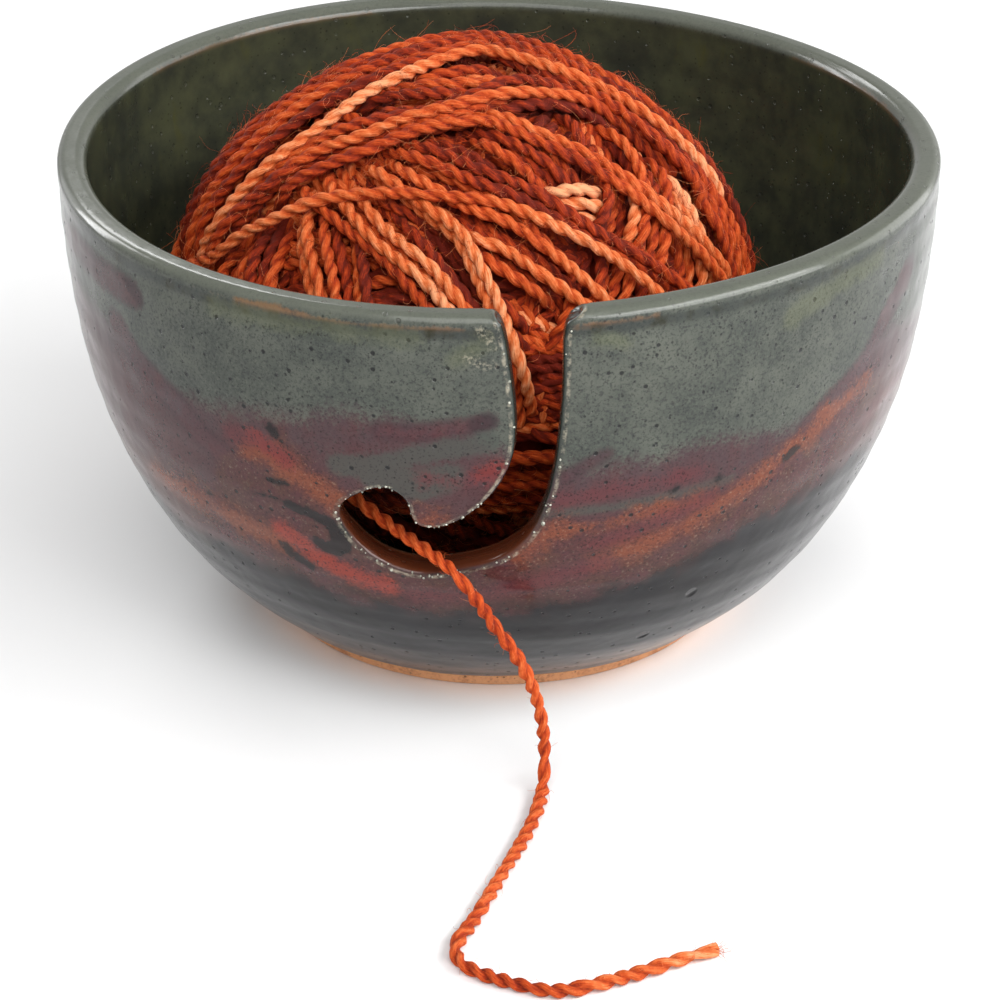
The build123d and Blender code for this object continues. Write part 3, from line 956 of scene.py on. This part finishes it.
def finer(table, step, closed):
    """Rows of a table whose first three columns are a line, resampled evenly along it with a cubic."""
    if closed:
        table = np.vstack([table, table[:1]])
    along = lengths_along(table[:, :3])
    count = max(6, int(round(along[-1] / step)))
    wanted = np.linspace(0, along[-1], count + 1)
    slope = np.gradient(table, along, axis=0)
    if closed:
        slope[0] = slope[-1] = (slope[0] + slope[-1]) / 2
    i = np.clip(np.searchsorted(along, wanted, side="right") - 1, 0, len(along) - 2)
    span = (along[i + 1] - along[i])[:, None]
    t = (wanted - along[i])[:, None] / span
    even = ((2 * t**3 - 3 * t**2 + 1) * table[i] + (t**3 - 2 * t**2 + t) * span * slope[i]
            + (3 * t**2 - 2 * t**3) * table[i + 1] + (t**3 - t**2) * span * slope[i + 1])
    return even[:-1] if closed else even


def join_tubes(name, tubes):
    """One object of many tubes, each (points, quads, fibre, groove, tone, depth)."""
    starts = np.cumsum([0] + [len(tube[0]) for tube in tubes])
    points = [tube[0] for tube in tubes]
    quads = [tube[1] + start for tube, start in zip(tubes, starts)]
    attributes = {key: np.concatenate([tube[column] for tube in tubes])
                  for key, column in (("fibre", 2), ("groove", 3), ("tone", 4), ("depth", 5))}
    return new_object(name, np.vstack(points), np.vstack(quads), attributes=attributes)


def sphere_grid(rows, columns):
    """Points, quads and triangles of a unit sphere."""
    latitude = np.linspace(-math.pi / 2, math.pi / 2, rows + 1)[1:-1]
    longitude = np.arange(columns) * 2 * math.pi / columns
    lat, lon = np.meshgrid(latitude, longitude, indexing="ij")
    points = np.stack([np.cos(lat) * np.cos(lon), np.cos(lat) * np.sin(lon), np.sin(lat)], axis=-1)
    points = np.vstack([points.reshape(-1, 3), [[0, 0, -1], [0, 0, 1]]])
    quads = grid_quads(rows - 1, columns)
    low, high = len(points) - 2, len(points) - 1
    k = np.arange(columns)
    last = (rows - 2) * columns
    tris = np.vstack([np.stack([np.full(columns, low), (k + 1) % columns, k], axis=1),
                      np.stack([np.full(columns, high), last + k, last + (k + 1) % columns], axis=1)])
    return points, quads, tris


def under_layer():
    """The wound mass under the modelled strands: a lumpy closed ball, painted dark as shade by the lowest
    tone and a great depth.
    """
    points, quads, tris = sphere_grid(48, 96)
    swell = 1 + 0.004 * (np.sin(points * [23, 19, 21] + [0, 1, 2])).prod(axis=1)
    points = BALL_CENTRE + points * ((BALL_R - UNDER_DEPTH) * swell)[:, None] * np.array([1, 1, SQUEEZE])
    # painted shade: tone 0 and depth 8 make the wool material paint this mass darkest
    plain = np.zeros(len(points))
    return new_object("yarn_ball_under_layer", points, quads, tris,
                      {"fibre": points * 0.3, "groove": plain + 1, "tone": plain, "depth": plain + 8})


# the butterfly that the ball was started on: axis of the turns, depth under its surface, their number
CORE_TURNS = [((0.2, 0.1, 1.0), 4.6, 10), ((1.0, 0.3, 0.1), 2.95, 5), ((-0.3, 1.0, 0.4), 1.3, 5)]


def wind_core():
    """The starting butterfly: parallel turns with two bands wound across them."""
    rng = np.random.default_rng(8)
    centre = (core_low + core_high) / 2
    tubes = []
    for axis, depth, turns in CORE_TURNS:
        axis = unit(np.array(axis))
        radius = CORE_R - depth
        turn = np.linspace(0, 2 * math.pi, int(2 * math.pi * radius / STRAND_STEP), endpoint=False)
        around = circle_round(axis, turn)
        for i in range(turns):
            lean = (i - (turns - 1) / 2) * WRAP_SPACING / radius
            outward = axis * math.sin(lean) + around * math.cos(lean)
            tube = strand_tube(centre + radius * outward, outward, 10, rng, closed=True)
            plain = np.full(len(tube[0]), 0.3 + 0.1 * rng.uniform(-1, 1))
            tubes.append((*tube, plain, plain * 0))
    return join_tubes("yarn_ball_core_winding", tubes)


def hair_mesh(name, roots, headings, normals, lengths, tones, rng, radius=0.034, steps=8, lowest=-99.0):
    """Stray fibres: thin curling three-sided hairs, none of them below the lowest height."""
    t = np.linspace(0, 1, steps)
    points, tone = [], []
    for root, heading, normal, length, shade in zip(roots, headings, normals, lengths, tones):
        side = unit(np.cross(heading, normal))
        curl = rng.uniform(-2.6, 2.6) * t + rng.uniform(-0.9, 0.9) * np.sin(5 * t)
        droop = rng.uniform(-1.5, 0.6) * t
        course = (heading * np.cos(curl)[:, None] + side * np.sin(curl)[:, None]
                  + normal * np.sin(droop)[:, None])
        line = root + np.cumsum(unit(course), axis=0) * length / steps
        tangent = unit(np.gradient(line, axis=0))
        across = unit(np.cross(tangent, normal + 0.01))
        up = np.cross(across, tangent)
        width = (radius * (1 - 0.6 * t))[:, None]
        ring = [line + width * (math.cos(turn) * across + math.sin(turn) * up) for turn in (0, 2.094, 4.189)]
        points.append(np.stack(ring, axis=1).reshape(-1, 3))
        tone.append(np.full(3 * steps, shade))
    count = len(points)
    start = 3 * steps * np.arange(count)[:, None, None]
    i = 3 * np.arange(steps - 1)[None, :, None]
    k = np.arange(3)[None, None, :]
    first, second = start + i + k, start + i + (k + 1) % 3
    quads = np.stack([first, second, second + 3, first + 3], axis=-1).reshape(-1, 4)
    points = np.vstack(points)
    points[:, 2] = np.maximum(points[:, 2], lowest)
    plain = np.zeros(len(points))
    return new_object(name, points, quads, attributes={"fibre": points, "groove": plain,
                                                       "tone": np.concatenate(tone), "depth": plain})


def ball_fuzz(winding, rng, name, count, longest, steps, radius, top_only):
    """Fibres standing off the strands that lie on the surface."""
    roots, normals = [], []
    for points, depth, _, _, shown in winding.strands:
        on_top = np.flatnonzero(shown & (depth < LOOSE_LEVEL + 1.0))
        if len(on_top):
            picked = rng.choice(on_top, max(1, len(on_top) // 6))
            roots.append(ball_place(points[picked], depth[picked] - 0.8))
            normals.append(points[picked])
    roots, normals = np.vstack(roots), np.vstack(normals)
    picked = rng.choice(np.flatnonzero(normals[:, 2] > (0.3 if top_only else -1)), count)
    roots, normals = roots[picked], normals[picked]
    flat = unit(np.cross(normals, rng.normal(size=(count, 3))))
    roots = roots + flat * 0.6
    headings = unit(flat + normals * (rng.uniform(0, 1, (count, 1)) ** 2) * 0.9)
    lengths = longest * (rng.uniform(0.25, 1.0, count) + 0.8 * rng.uniform(0, 1, count) ** 6)
    tones = rng.choice([0.15, 0.4, 0.75], count, p=[0.4, 0.35, 0.25])
    return hair_mesh(name, roots, headings, normals, lengths, tones, rng, radius, steps)


# ==== Working end of the yarn ====

def route_curve():
    """The cord's route as a smooth NURBS line with the route's points as its control points."""
    data = bpy.data.curves.new("tail_route", "CURVE")
    data.dimensions = "3D"
    data.resolution_u = 24
    spline = data.splines.new("NURBS")
    spline.points.add(len(TAIL_ROUTE) - 1)
    for point, place in zip(spline.points, TAIL_ROUTE):
        point.co = (*place, 1)
    spline.order_u = 3
    spline.use_endpoint_u = True
    curve = linked("tail_route", data)
    line = bpy.data.meshes.new_from_object(curve)
    path = [tuple(vertex.co) for vertex in line.vertices]
    bpy.data.objects.remove(curve)
    bpy.data.curves.remove(data)
    bpy.data.meshes.remove(line)
    return path


TAIL_STEP = 0.42
TAIL_SIDES = 14
TAIL_HAIRS = 150
TIP_HAIRS = 24


def make_tail(wool):
    rng = np.random.default_rng(3)
    path = route_curve()
    line = resample(np.array(path) / MM, TAIL_STEP)
    outward = np.broadcast_to(np.array([0.12, -0.3, 1.0]), line.shape)
    upright = smoothstep(0.7, 0.95, np.abs(unit(np.gradient(line, axis=0))[:, 2]))[:, None]
    outward = outward * (1 - upright) + np.array([0, -1.0, 0.1]) * upright
    tube = strand_tube(line, outward, TAIL_SIDES, rng, plies=FREE_PLIES, untwist_end=9)
    along = np.arange(len(line)) * TAIL_STEP
    tone = 0.50 + 0.10 * slow_noise(along, rng, 30)
    tone = tone + 0.35 * smoothstep(along[-1] - 16, along[-1] - 4, along)
    tail = join_tubes("yarn_tail_strand", [(*tube, np.repeat(tone, TAIL_SIDES), np.zeros(len(tube[0])))])
    fit(tail, wool, "bowl", "yarn_tail")
    hairs = tail_fuzz(line, rng)
    fit(hairs, wool, "bowl", None)


def tail_fuzz(line, rng):
    """Fibres along the working end, and the frayed ones at its cut tip."""
    count, ends = TAIL_HAIRS, TIP_HAIRS
    picked = rng.choice(np.arange(10, len(line)), count)
    tangent = unit(np.gradient(line, axis=0))[picked]
    around = unit(np.cross(tangent, rng.normal(size=(count, 3))))
    low = line[picked, 2] < 4
    around[low, 2] = np.abs(around[low, 2])
    roots = line[picked] + around * 0.8
    headings = unit(tangent * rng.choice([-1, 1], (count, 1)) + around * rng.uniform(0.3, 1.0, (count, 1)))
    final = unit(line[-1] - line[-8])
    tip = line[-1] - final * rng.uniform(0, 2.5, (ends, 1)) + rng.normal(size=(ends, 3)) * 0.3
    forward = unit(final + rng.normal(size=(ends, 3)) * 0.28)
    forward[:, 2] = np.abs(forward[:, 2]) * 0.5
    roots = np.vstack([roots, tip])
    headings = np.vstack([headings, forward])
    around = np.vstack([around, np.broadcast_to([0, 0, 1.0], tip.shape)])
    lengths = np.concatenate([rng.uniform(0.8, 3.0, count), rng.uniform(1.5, 4.0, ends)])
    tones = rng.uniform(0.3, 0.8, len(roots))
    return hair_mesh("yarn_tail_fuzz", roots, headings, around, lengths, tones, rng, lowest=0.05)


# ==== Materials ====

class Graph:
    """Short names for the nodes of one material."""

    def __init__(self, name):
        self.material = bpy.data.materials.new(name)
        self.material.use_nodes = True
        self.tree = self.material.node_tree
        self.shader = self.tree.nodes["Principled BSDF"]

    def feed(self, node, inputs):
        for key, value in inputs.items():
            if isinstance(value, bpy.types.NodeSocket):
                self.tree.links.new(value, node.inputs[key])
            else:
                node.inputs[key].default_value = value

    def node(self, kind, inputs, output=0, **settings):
        """The wanted output of a new node with these inputs and settings."""
        made = self.tree.nodes.new("ShaderNode" + kind)
        for key, value in settings.items():
            setattr(made, key, value)
        self.feed(made, inputs)
        return made.outputs[output]

    def attribute(self, name, output="Fac"):
        return self.node("Attribute", {}, output, attribute_name=name)

    def math(self, operation, *values):
        return self.node("Math", dict(enumerate(values)), operation=operation)

    def add(self, *values):
        return functools.reduce(lambda total, value: self.math("ADD", total, value), values)

    def times(self, *values):
        return functools.reduce(lambda total, value: self.math("MULTIPLY", total, value), values)

    def less(self, value, taken):
        return self.math("SUBTRACT", value, taken)

    def step(self, value, low, high):
        """0 at low, 1 at high, smooth between; low may be the larger."""
        ends = (low, high, 0, 1) if low < high else (high, low, 1, 0)
        inputs = dict(zip(("From Min", "From Max", "To Min", "To Max"), ends), Value=value)
        return self.node("MapRange", inputs, interpolation_type="SMOOTHSTEP")

    def mix(self, share, below, above):
        return self.node("Mix", {0: share, 6: below, 7: above}, 2, data_type="RGBA")

    def lay(self, colour, tone, share, value, low, high):
        """The tone laid over the colour with that share, where the value passes from low to high."""
        return self.mix(self.times(self.step(value, low, high), share), colour, tone)

    def between(self, share, below, above):
        return self.node("Mix", {0: share, 2: below, 3: above}, data_type="FLOAT")

    def place(self):
        """The object's own coordinates in millimetres."""
        coordinates = self.node("TexCoord", {}, "Object")
        return self.node("VectorMath", {0: coordinates, "Scale": 1 / MM}, operation="SCALE")

    def stretch(self, vector, factors):
        return self.node("VectorMath", {0: vector, 1: factors}, operation="MULTIPLY")

    def noise(self, vector, size, detail, roughness, distortion=0.0):
        """Noise between 0 and 1 with features of about that size in the vector's unit."""
        inputs = {"Vector": vector, "Scale": 1 / size, "Detail": detail, "Roughness": roughness,
                  "Distortion": distortion}
        return self.node("TexNoise", inputs, "Fac")

    def cells(self, vector, size):
        """Distance to scattered points about that far apart, and each point's random number."""
        distance = self.node("TexVoronoi", {"Vector": vector, "Scale": 1 / size}, "Distance")
        return distance, self.node("SeparateColor", {0: distance.node.outputs["Color"]})

    def bump(self, height, distance, under=None):
        inputs = {"Height": height, "Distance": distance}
        if under is not None:
            inputs["Normal"] = under
        return self.node("Bump", inputs, "Normal")


GREY_GREEN = srgb(65, 69, 64)
GREY_PALE = srgb(86, 89, 81)
GREY_DEEP = srgb(45, 50, 48)
MAUVE = srgb(70, 48, 53)
MAUVE_RED = srgb(77, 41, 45)
MAUVE_DARK = srgb(40, 26, 32)
RUST = srgb(76, 47, 39)
ORANGE = srgb(124, 64, 40)
BRIGHT_RED = srgb(142, 50, 35)
CRIMSON = srgb(92, 42, 46)
CHARCOAL = srgb(13, 13, 15)
CHARCOAL_BLUE = srgb(22, 24, 29)
INK = srgb(16, 17, 19)
CLAY = srgb(222, 165, 120)
CLAY_DARK = srgb(174, 120, 84)
OLIVE = srgb(70, 68, 28)
OLIVE_DARK = srgb(36, 34, 16)
LIME = srgb(112, 116, 74)
INSIDE_GREEN = srgb(64, 66, 48)
INSIDE_DARK = srgb(43, 45, 38)
BREAK_TAN = srgb(118, 84, 56)
LIP_GREY = srgb(101, 104, 94)
CUT_RUST = srgb(88, 38, 15)
CREAM = srgb(186, 176, 154)


def glaze_material():
    g = Graph("glazed_stoneware_looks")
    place = g.place()
    height = g.attribute("height")
    over_lip = g.attribute("over_lip")
    slot_edge = g.attribute("slot_edge")
    outside = g.step(over_lip, 0.6, -0.6)

    # unevenness that bends every border between the glazes
    wide = g.less(g.noise(place, 14.0, 3, 0.55), 0.5)
    middle = g.less(g.noise(place, 4.5, 4, 0.6), 0.5)
    grain = g.less(g.noise(place, 0.6, 3, 0.65), 0.5)
    pepper = g.step(g.noise(place, 0.42, 2, 0.6), 0.55, 0.66)
    streaky = g.less(g.noise(g.stretch(place, (1.0, 1.0, 0.35)), 3.2, 4, 0.6, 0.6), 0.5)

    def field(name, wide_amount, middle_amount, grain_amount):
        return g.add(g.attribute(name), g.times(wide, wide_amount), g.times(middle, middle_amount),
                     g.times(grain, grain_amount))

    # upper grey-green glaze, mottled and finely grained
    cloud = g.step(g.add(g.times(wide, 1.2), g.times(middle, 1.0)), -0.35, 0.4)
    colour = g.mix(cloud, GREY_GREEN, GREY_PALE)
    colour = g.lay(colour, GREY_DEEP, 0.55, streaky, 0.05, 0.3)
    colour = g.lay(colour, GREY_DEEP, 0.6, grain, -0.01, -0.16)
    colour = g.lay(colour, GREY_PALE, 0.55, grain, 0.03, 0.18)

    # mauve band under it
    mauve_tone = g.mix(g.step(g.add(middle, g.times(streaky, 0.8)), -0.2, 0.3), MAUVE, MAUVE_RED)
    mauve_tone = g.lay(mauve_tone, GREY_GREEN, 0.35, grain, 0.0, 0.3)
    mauve_tone = g.lay(mauve_tone, MAUVE_DARK, 0.5, grain, 0.0, -0.3)
    upper = field("upper", 4.0, 6.0, 5.0)
    mauve_tone = g.lay(mauve_tone, MAUVE_RED, 0.5, upper, -4.0, -9.0)
    in_mauve = g.times(g.step(upper, 2.0, -2.4), 0.88)
    colour = g.mix(in_mauve, colour, mauve_tone)
    stroke = field("mauve_stroke", 1.0, 2.5, 2.4)
    colour = g.lay(colour, mauve_tone, 0.85, stroke, -1.1, 0.8)
    outline = g.times(g.step(stroke, -1.0, -0.3), g.step(stroke, 0.9, 0.2))
    colour = g.mix(g.times(outline, 0.22), colour, MAUVE_DARK)
    colour = g.lay(colour, MAUVE_DARK, 0.6, field("mauve_end", 0.3, 1.0, 0.6), -0.8, 0.3)
    green = field("green_stroke", 1.0, 3.2, 1.6)
    colour = g.lay(colour, GREY_GREEN, 0.75, green, -1.0, 0.5)

    # rust band: orange where the glaze is thin, red runs in it
    rust_tone = g.mix(g.step(g.add(middle, g.times(streaky, 0.7)), -0.3, 0.25), MAUVE_RED, RUST)
    rust_tone = g.lay(rust_tone, ORANGE, 0.85, field("orange_stroke", 2.0, 8.0, 3.0), -2.6, 2.0)
    rust_tone = g.lay(rust_tone, MAUVE_DARK, 0.55, grain, 0.0, -0.22)
    rust_tone = g.lay(rust_tone, CREAM, 0.25, grain, 0.05, 0.3)
    rust = field("rust", 5.0, 9.0, 4.0)
    colour = g.lay(colour, rust_tone, 0.93, rust, -2.0, 2.4)
    red = g.step(field("red_stroke", 1.2, 4.5, 4.5), -1.3, 1.3)
    colour = g.mix(g.times(red, 0.8), colour, BRIGHT_RED)
    crimson = g.step(field("crimson_stroke", 1.2, 4.5, 4.5), -1.6, 1.4)
    colour = g.mix(g.times(crimson, 0.7), colour, CRIMSON)
    colour = g.mix(g.times(pepper, g.math("MAXIMUM", red, crimson), 0.6), colour, MAUVE_DARK)

    # charcoal lower glaze
    charcoal_tone = g.mix(g.step(g.add(wide, middle), -0.3, 0.45), CHARCOAL, CHARCOAL_BLUE)
    charcoal_tone = g.lay(charcoal_tone, INK, 0.5, grain, 0.0, -0.3)
    charcoal = field("charcoal", 7.0, 9.0, 2.5)
    deep = g.step(charcoal, -2.4, 3.4)
    colour = g.mix(g.times(deep, 0.97), colour, charcoal_tone)
    drawn = g.step(field("charcoal_stroke", 0.5, 2.4, 1.6), -0.6, 0.25)
    colour = g.mix(g.times(drawn, 0.88), colour, INK)

    # dark pinholes and iron specks of several sizes
    near, chance = g.cells(place, 1.9)
    speck_size = g.between(g.step(chance, 0.1, 1.0), -0.06, 0.21)
    speck = g.step(g.less(speck_size, near), -0.03, 0.04)
    fine_near, fine_chance = g.cells(place, 0.95)
    fine_size = g.between(g.step(fine_chance, 0.2, 1.0), -0.05, 0.24)
    fine = g.step(g.less(fine_size, fine_near), -0.04, 0.05)
    colour = g.mix(g.times(pepper, g.between(deep, 0.42, 0.1)), colour, INK)
    colour = g.mix(g.times(speck, g.between(deep, 0.85, 0.3)), colour, INK)
    colour = g.mix(g.times(fine, 0.6), colour, INK)

    # lip: pale grey top, tan where the glaze breaks on the outer shoulder, and below it a groove darkened by
    # painted shade mixed with olive glaze pooled there
    lip = g.times(g.step(over_lip, -3.4, -2.0), g.step(over_lip, 4.2, 2.2))
    colour = g.mix(g.times(lip, 0.65), colour, LIP_GREY)
    breaking = g.step(field("tan_stroke", 0.2, 1.2, 1.0), -0.45, 0.25)
    colour = g.mix(g.times(breaking, 0.75), colour, BREAK_TAN)
    # painted shade in the groove under the lip, mixed with olive glaze pooled in it
    groove = g.times(g.step(over_lip, -6.2, -4.8), g.step(over_lip, -3.3, -4.0))
    olive_share = g.step(g.add(middle, streaky), -0.1, 0.35)
    colour = g.mix(g.times(groove, g.between(olive_share, 0.6, 0.88)), colour,
                   g.mix(olive_share, GREY_DEEP, OLIVE_DARK))
    lime = g.step(field("lime_stroke", 1.0, 4.0, 2.0), -1.4, 1.0)
    colour = g.mix(g.times(lime, 0.18), colour, LIME)
    # pale cream flecks beside the slot's top corner
    pale_flecks = g.times(g.step(field("pale_flecks", 0.3, 2.6, 2.0), -0.9, 0.5), g.step(grain, -0.06, 0.12))
    colour = g.mix(g.times(pale_flecks, 0.35), colour, CREAM)

    # inside: dark green, glossy, with olive runs
    inside_tone = g.mix(g.step(g.add(wide, middle), -0.35, 0.4), INSIDE_DARK, INSIDE_GREEN)
    inside_tone = g.lay(inside_tone, OLIVE, 0.5, g.add(wide, streaky), 0.12, 0.5)
    inside_tone = g.mix(g.times(fine, 0.4), inside_tone, INK)
    inner = g.step(over_lip, 2.2, 4.4)
    colour = g.mix(inner, colour, inside_tone)

    # slot: cream arris where the glaze thinned, dark speckled cut face
    arris = g.times(g.step(slot_edge, 1.5, 0.5), outside)
    arris_line = g.times(g.step(slot_edge, 1.15, 0.8), g.step(slot_edge, 0.3, 0.55), outside)
    colour = g.mix(g.times(arris, 0.4), colour, GREY_DEEP)
    colour = g.mix(g.times(arris_line, g.step(g.noise(place, 1.6, 3, 0.7), 0.42, 0.7), 0.5), colour, CREAM)
    cut = g.step(slot_edge, 0.3, 0.0)
    cut_tone = g.mix(g.step(g.add(middle, grain), -0.2, 0.3), INSIDE_DARK, GREY_DEEP)
    cut_tone = g.lay(cut_tone, CUT_RUST, 0.75, g.add(height, g.times(middle, 8.0)), 52.0, 44.0)
    colour = g.mix(cut, colour, cut_tone)

    # bare clay foot
    bare_edge = g.add(height, g.times(wide, -1.2), g.times(middle, -1.6))
    bare = g.times(g.step(bare_edge, 4.4, 3.7), outside)
    clay_tone = g.mix(g.step(g.add(middle, grain), -0.1, 0.35), CLAY, CLAY_DARK)
    clay_tone = g.mix(g.times(fine, 0.6), clay_tone, INK)
    rim_of_glaze = g.times(g.step(bare_edge, 6.6, 4.8), outside)
    colour = g.mix(g.times(rim_of_glaze, 0.45), colour, INK)
    colour = g.mix(bare, colour, clay_tone)

    roughness = g.add(0.13, g.times(g.noise(place, 2.6, 2, 0.5), 0.10), g.times(speck, 0.15))
    ripple = g.bump(g.times(g.noise(place, 8.0, 2, 0.4), g.between(lip, 1.0, 0.3)), 0.0003)
    orange_peel = g.bump(g.noise(place, 1.5, 1, 0.4), 0.000015, ripple)
    dimple_near, dimple_chance = g.cells(g.stretch(place, (1, 1, 0.8)), 9.0)
    dimple = g.times(g.step(dimple_near, 0.16, 0.05), g.step(dimple_chance, 0.45, 0.6), deep)
    dimpled = g.bump(g.less(1.0, dimple), 0.0006, orange_peel)
    pits = g.bump(g.less(1.0, speck), 0.00012, dimpled)
    gritty = g.bump(g.times(g.noise(place, 0.5, 3, 0.7), bare), 0.0003, pits)
    g.feed(g.shader, {"Base Color": colour, "Roughness": g.between(bare, roughness, 0.85),
                      "IOR": 1.46, "Specular IOR Level": 0.28, "Normal": gritty})
    return g.material


YARN_SHADES = [(0.0, srgb(98, 22, 5)), (0.22, srgb(154, 46, 10)), (0.45, srgb(194, 76, 25)),
               (0.70, srgb(222, 116, 62)), (1.0, srgb(246, 170, 122))]


def yarn_material():
    g = Graph("hand_dyed_wool")
    fibre = g.attribute("fibre", "Vector")
    groove = g.attribute("groove")
    tone = g.attribute("tone")
    depth = g.attribute("depth")
    place = g.place()
    strands = g.noise(g.stretch(fibre, (1.0, 1.0, 0.10)), 0.22, 3, 0.7)
    fluff = g.noise(g.stretch(fibre, (0.6, 0.6, 0.5)), 0.5, 3, 0.6)
    patch = g.noise(place, 9.0, 2, 0.5)
    lightness = g.add(tone, g.times(g.less(strands, 0.5), 0.95),
                      g.times(g.less(fluff, 0.5), 0.55),
                      g.times(g.less(patch, 0.5), 0.25),
                      # painted shade: darker in the creases between the two plies
                      g.times(g.math("POWER", groove, 4.0), -0.26),
                      # painted shade: strands lying deeper under the others are darker
                      g.times(g.step(depth, 2.4, 6.0), -0.2))
    shade = g.node("ValToRGB", {0: lightness})
    ramp = shade.node.color_ramp
    ramp.elements[0].position, ramp.elements[0].color = YARN_SHADES[0]
    ramp.elements[1].position, ramp.elements[1].color = YARN_SHADES[-1]
    for position, colour in YARN_SHADES[1:-1]:
        ramp.elements.new(position).color = colour
    g.feed(g.shader, {"Base Color": shade, "Roughness": 0.78, "Specular IOR Level": 0.15,
                      "Sheen Weight": 0.03, "Sheen Roughness": 0.5, "Sheen Tint": srgb(255, 176, 130),
                      "Normal": g.bump(fluff, 0.0003, g.bump(strands, 0.00022))})
    return g.material


def bead_material():
    g = Graph("glaze_bubble")
    place = g.place()
    tone = g.mix(g.step(g.noise(place, 0.8, 2, 0.6), 0.35, 0.65), srgb(196, 194, 180), srgb(132, 134, 120))
    g.feed(g.shader, {"Base Color": tone, "Roughness": 0.25,
                      "Normal": g.bump(g.noise(place, 0.4, 2, 0.5), 0.0001)})
    return g.material


def floor_material():
    g = Graph("studio_floor")
    g.feed(g.shader, {"Base Color": (0.86, 0.86, 0.86, 1), "Roughness": 0.9})
    return g.material


# ==== Studio ====

HORIZON_LIGHT = 0.82     # the studio's white walls
ZENITH_LIGHT = 0.22
FLOOR_REACH = 3000.0     # from the middle to each side
FLOOR_LEVEL = -0.02      # just below the foot, so that the two faces stay apart


def make_camera():
    data = bpy.data.cameras.new("photo_view")
    data.lens = CAMERA_LENS
    data.sensor_width = 36
    data.clip_start = 0.01
    camera = linked("photo_view", data)
    camera.location = CAMERA_PLACE
    camera.rotation_euler = (math.radians(90 - CAMERA_DOWN), 0, 0)
    bpy.context.scene.camera = camera


def area_light(name, place, aim_height, width, height, power, only_shine):
    data = bpy.data.lights.new(name, "AREA")
    data.energy = power
    data.shape = "RECTANGLE"
    data.size = width
    data.size_y = height
    light = linked(name, data)
    light.location = place
    aim = Vector((0, 0, aim_height)) - Vector(place)
    light.rotation_euler = aim.to_track_quat("-Z", "Y").to_euler()
    light.visible_diffuse = not only_shine


# name, place, height of the point it faces, width, height, power, whether only reflections show it
LIGHTS = [
    ("left_softbox", (-0.55, 0.36, 0.22), 0.06, 0.35, 0.42, 0.6, False),
    ("right_softbox", (0.55, 0.26, 0.22), 0.06, 0.4, 0.42, 1.8, False),
    ("front_overhead", (-0.05, -0.80, 0.90), 0.05, 0.8, 0.8, 9.5, False),
    ("key_softbox", (0.58, -0.41, 0.62), 0.08, 0.95, 0.18, 7.0, False),
    ("right_card", (0.69, -0.485, 0.39), 0.08, 1.0, 0.45, 14.0, True),
    ("left_card", (-0.586, 0.299, 0.32), 0.08, 0.14, 0.4, 2.4, True),
    ("back_strip", (-0.22, 0.42, 0.40), 0.08, 0.3, 0.08, 0.9, False),
]


def make_lights():
    world = bpy.data.worlds.new("studio")
    world.use_nodes = True
    tree = world.node_tree
    sky = tree.nodes.new("ShaderNodeTexCoord")
    split = tree.nodes.new("ShaderNodeSeparateXYZ")
    fade = tree.nodes.new("ShaderNodeMapRange")
    fade.interpolation_type = "SMOOTHSTEP"
    ends = {"From Min": 0.05, "From Max": 0.6, "To Min": HORIZON_LIGHT, "To Max": ZENITH_LIGHT}
    for key, value in ends.items():
        fade.inputs[key].default_value = value
    tree.links.new(sky.outputs["Generated"], split.inputs[0])
    tree.links.new(split.outputs["Z"], fade.inputs["Value"])
    tree.links.new(fade.outputs[0], tree.nodes["Background"].inputs["Strength"])
    tree.nodes["Background"].inputs["Color"].default_value = (1, 1, 1, 1)
    bpy.context.scene.world = world
    for row in LIGHTS:
        area_light(*row)


def make_floor():
    signs = [(-1, -1), (1, -1), (1, 1), (-1, 1)]
    corners = [(x * FLOOR_REACH, y * FLOOR_REACH, FLOOR_LEVEL) for x, y in signs]
    floor = new_object("studio_floor", corners, [(0, 1, 2, 3)])
    floor.data.materials.append(floor_material())


# ==== The pieces ====

def make_bowl():
    points, quads, tris, theta, s, distance = bowl_mesh()
    bowl = new_object("glazed_bowl", points, quads, tris, glaze_fields(points, theta, s, distance))
    fit(bowl, glaze_material(), "bowl", "bowl")
    fit(new_object("glaze_beads", *bead_mesh()), bead_material(), "bowl", "bowl")


# loose fibres: name, how many, longest, points in each, radius, only on the upper part
FUZZ = [
    ("yarn_ball_fuzz", 4200, 6.0, 8, 0.030, False),
    ("yarn_ball_halo", 8000, 2.6, 5, 0.034, False),
    ("yarn_ball_long_fibres", 45, 12.0, 16, 0.024, True),
]


def make_ball(wool):
    winding = wind_ball()
    batches = ball_pieces(winding)
    pieces = [join_tubes(f"yarn_ball_strands_{i + 1}", batch) for i, batch in enumerate(batches)]
    pieces.append(under_layer())
    rng = np.random.default_rng(21)
    pieces += [ball_fuzz(winding, rng, *row) for row in FUZZ]
    for piece in pieces:
        fit(piece, wool, "ball", "yarn_ball_wraps")
    fit(wind_core(), wool, "ball_lift", "yarn_ball_core")


make_camera()
wool_material = yarn_material()
make_tail(wool_material)
make_bowl()
make_ball(wool_material)
make_lights()
make_floor()
bpy.context.scene.view_settings.view_transform = "Standard"
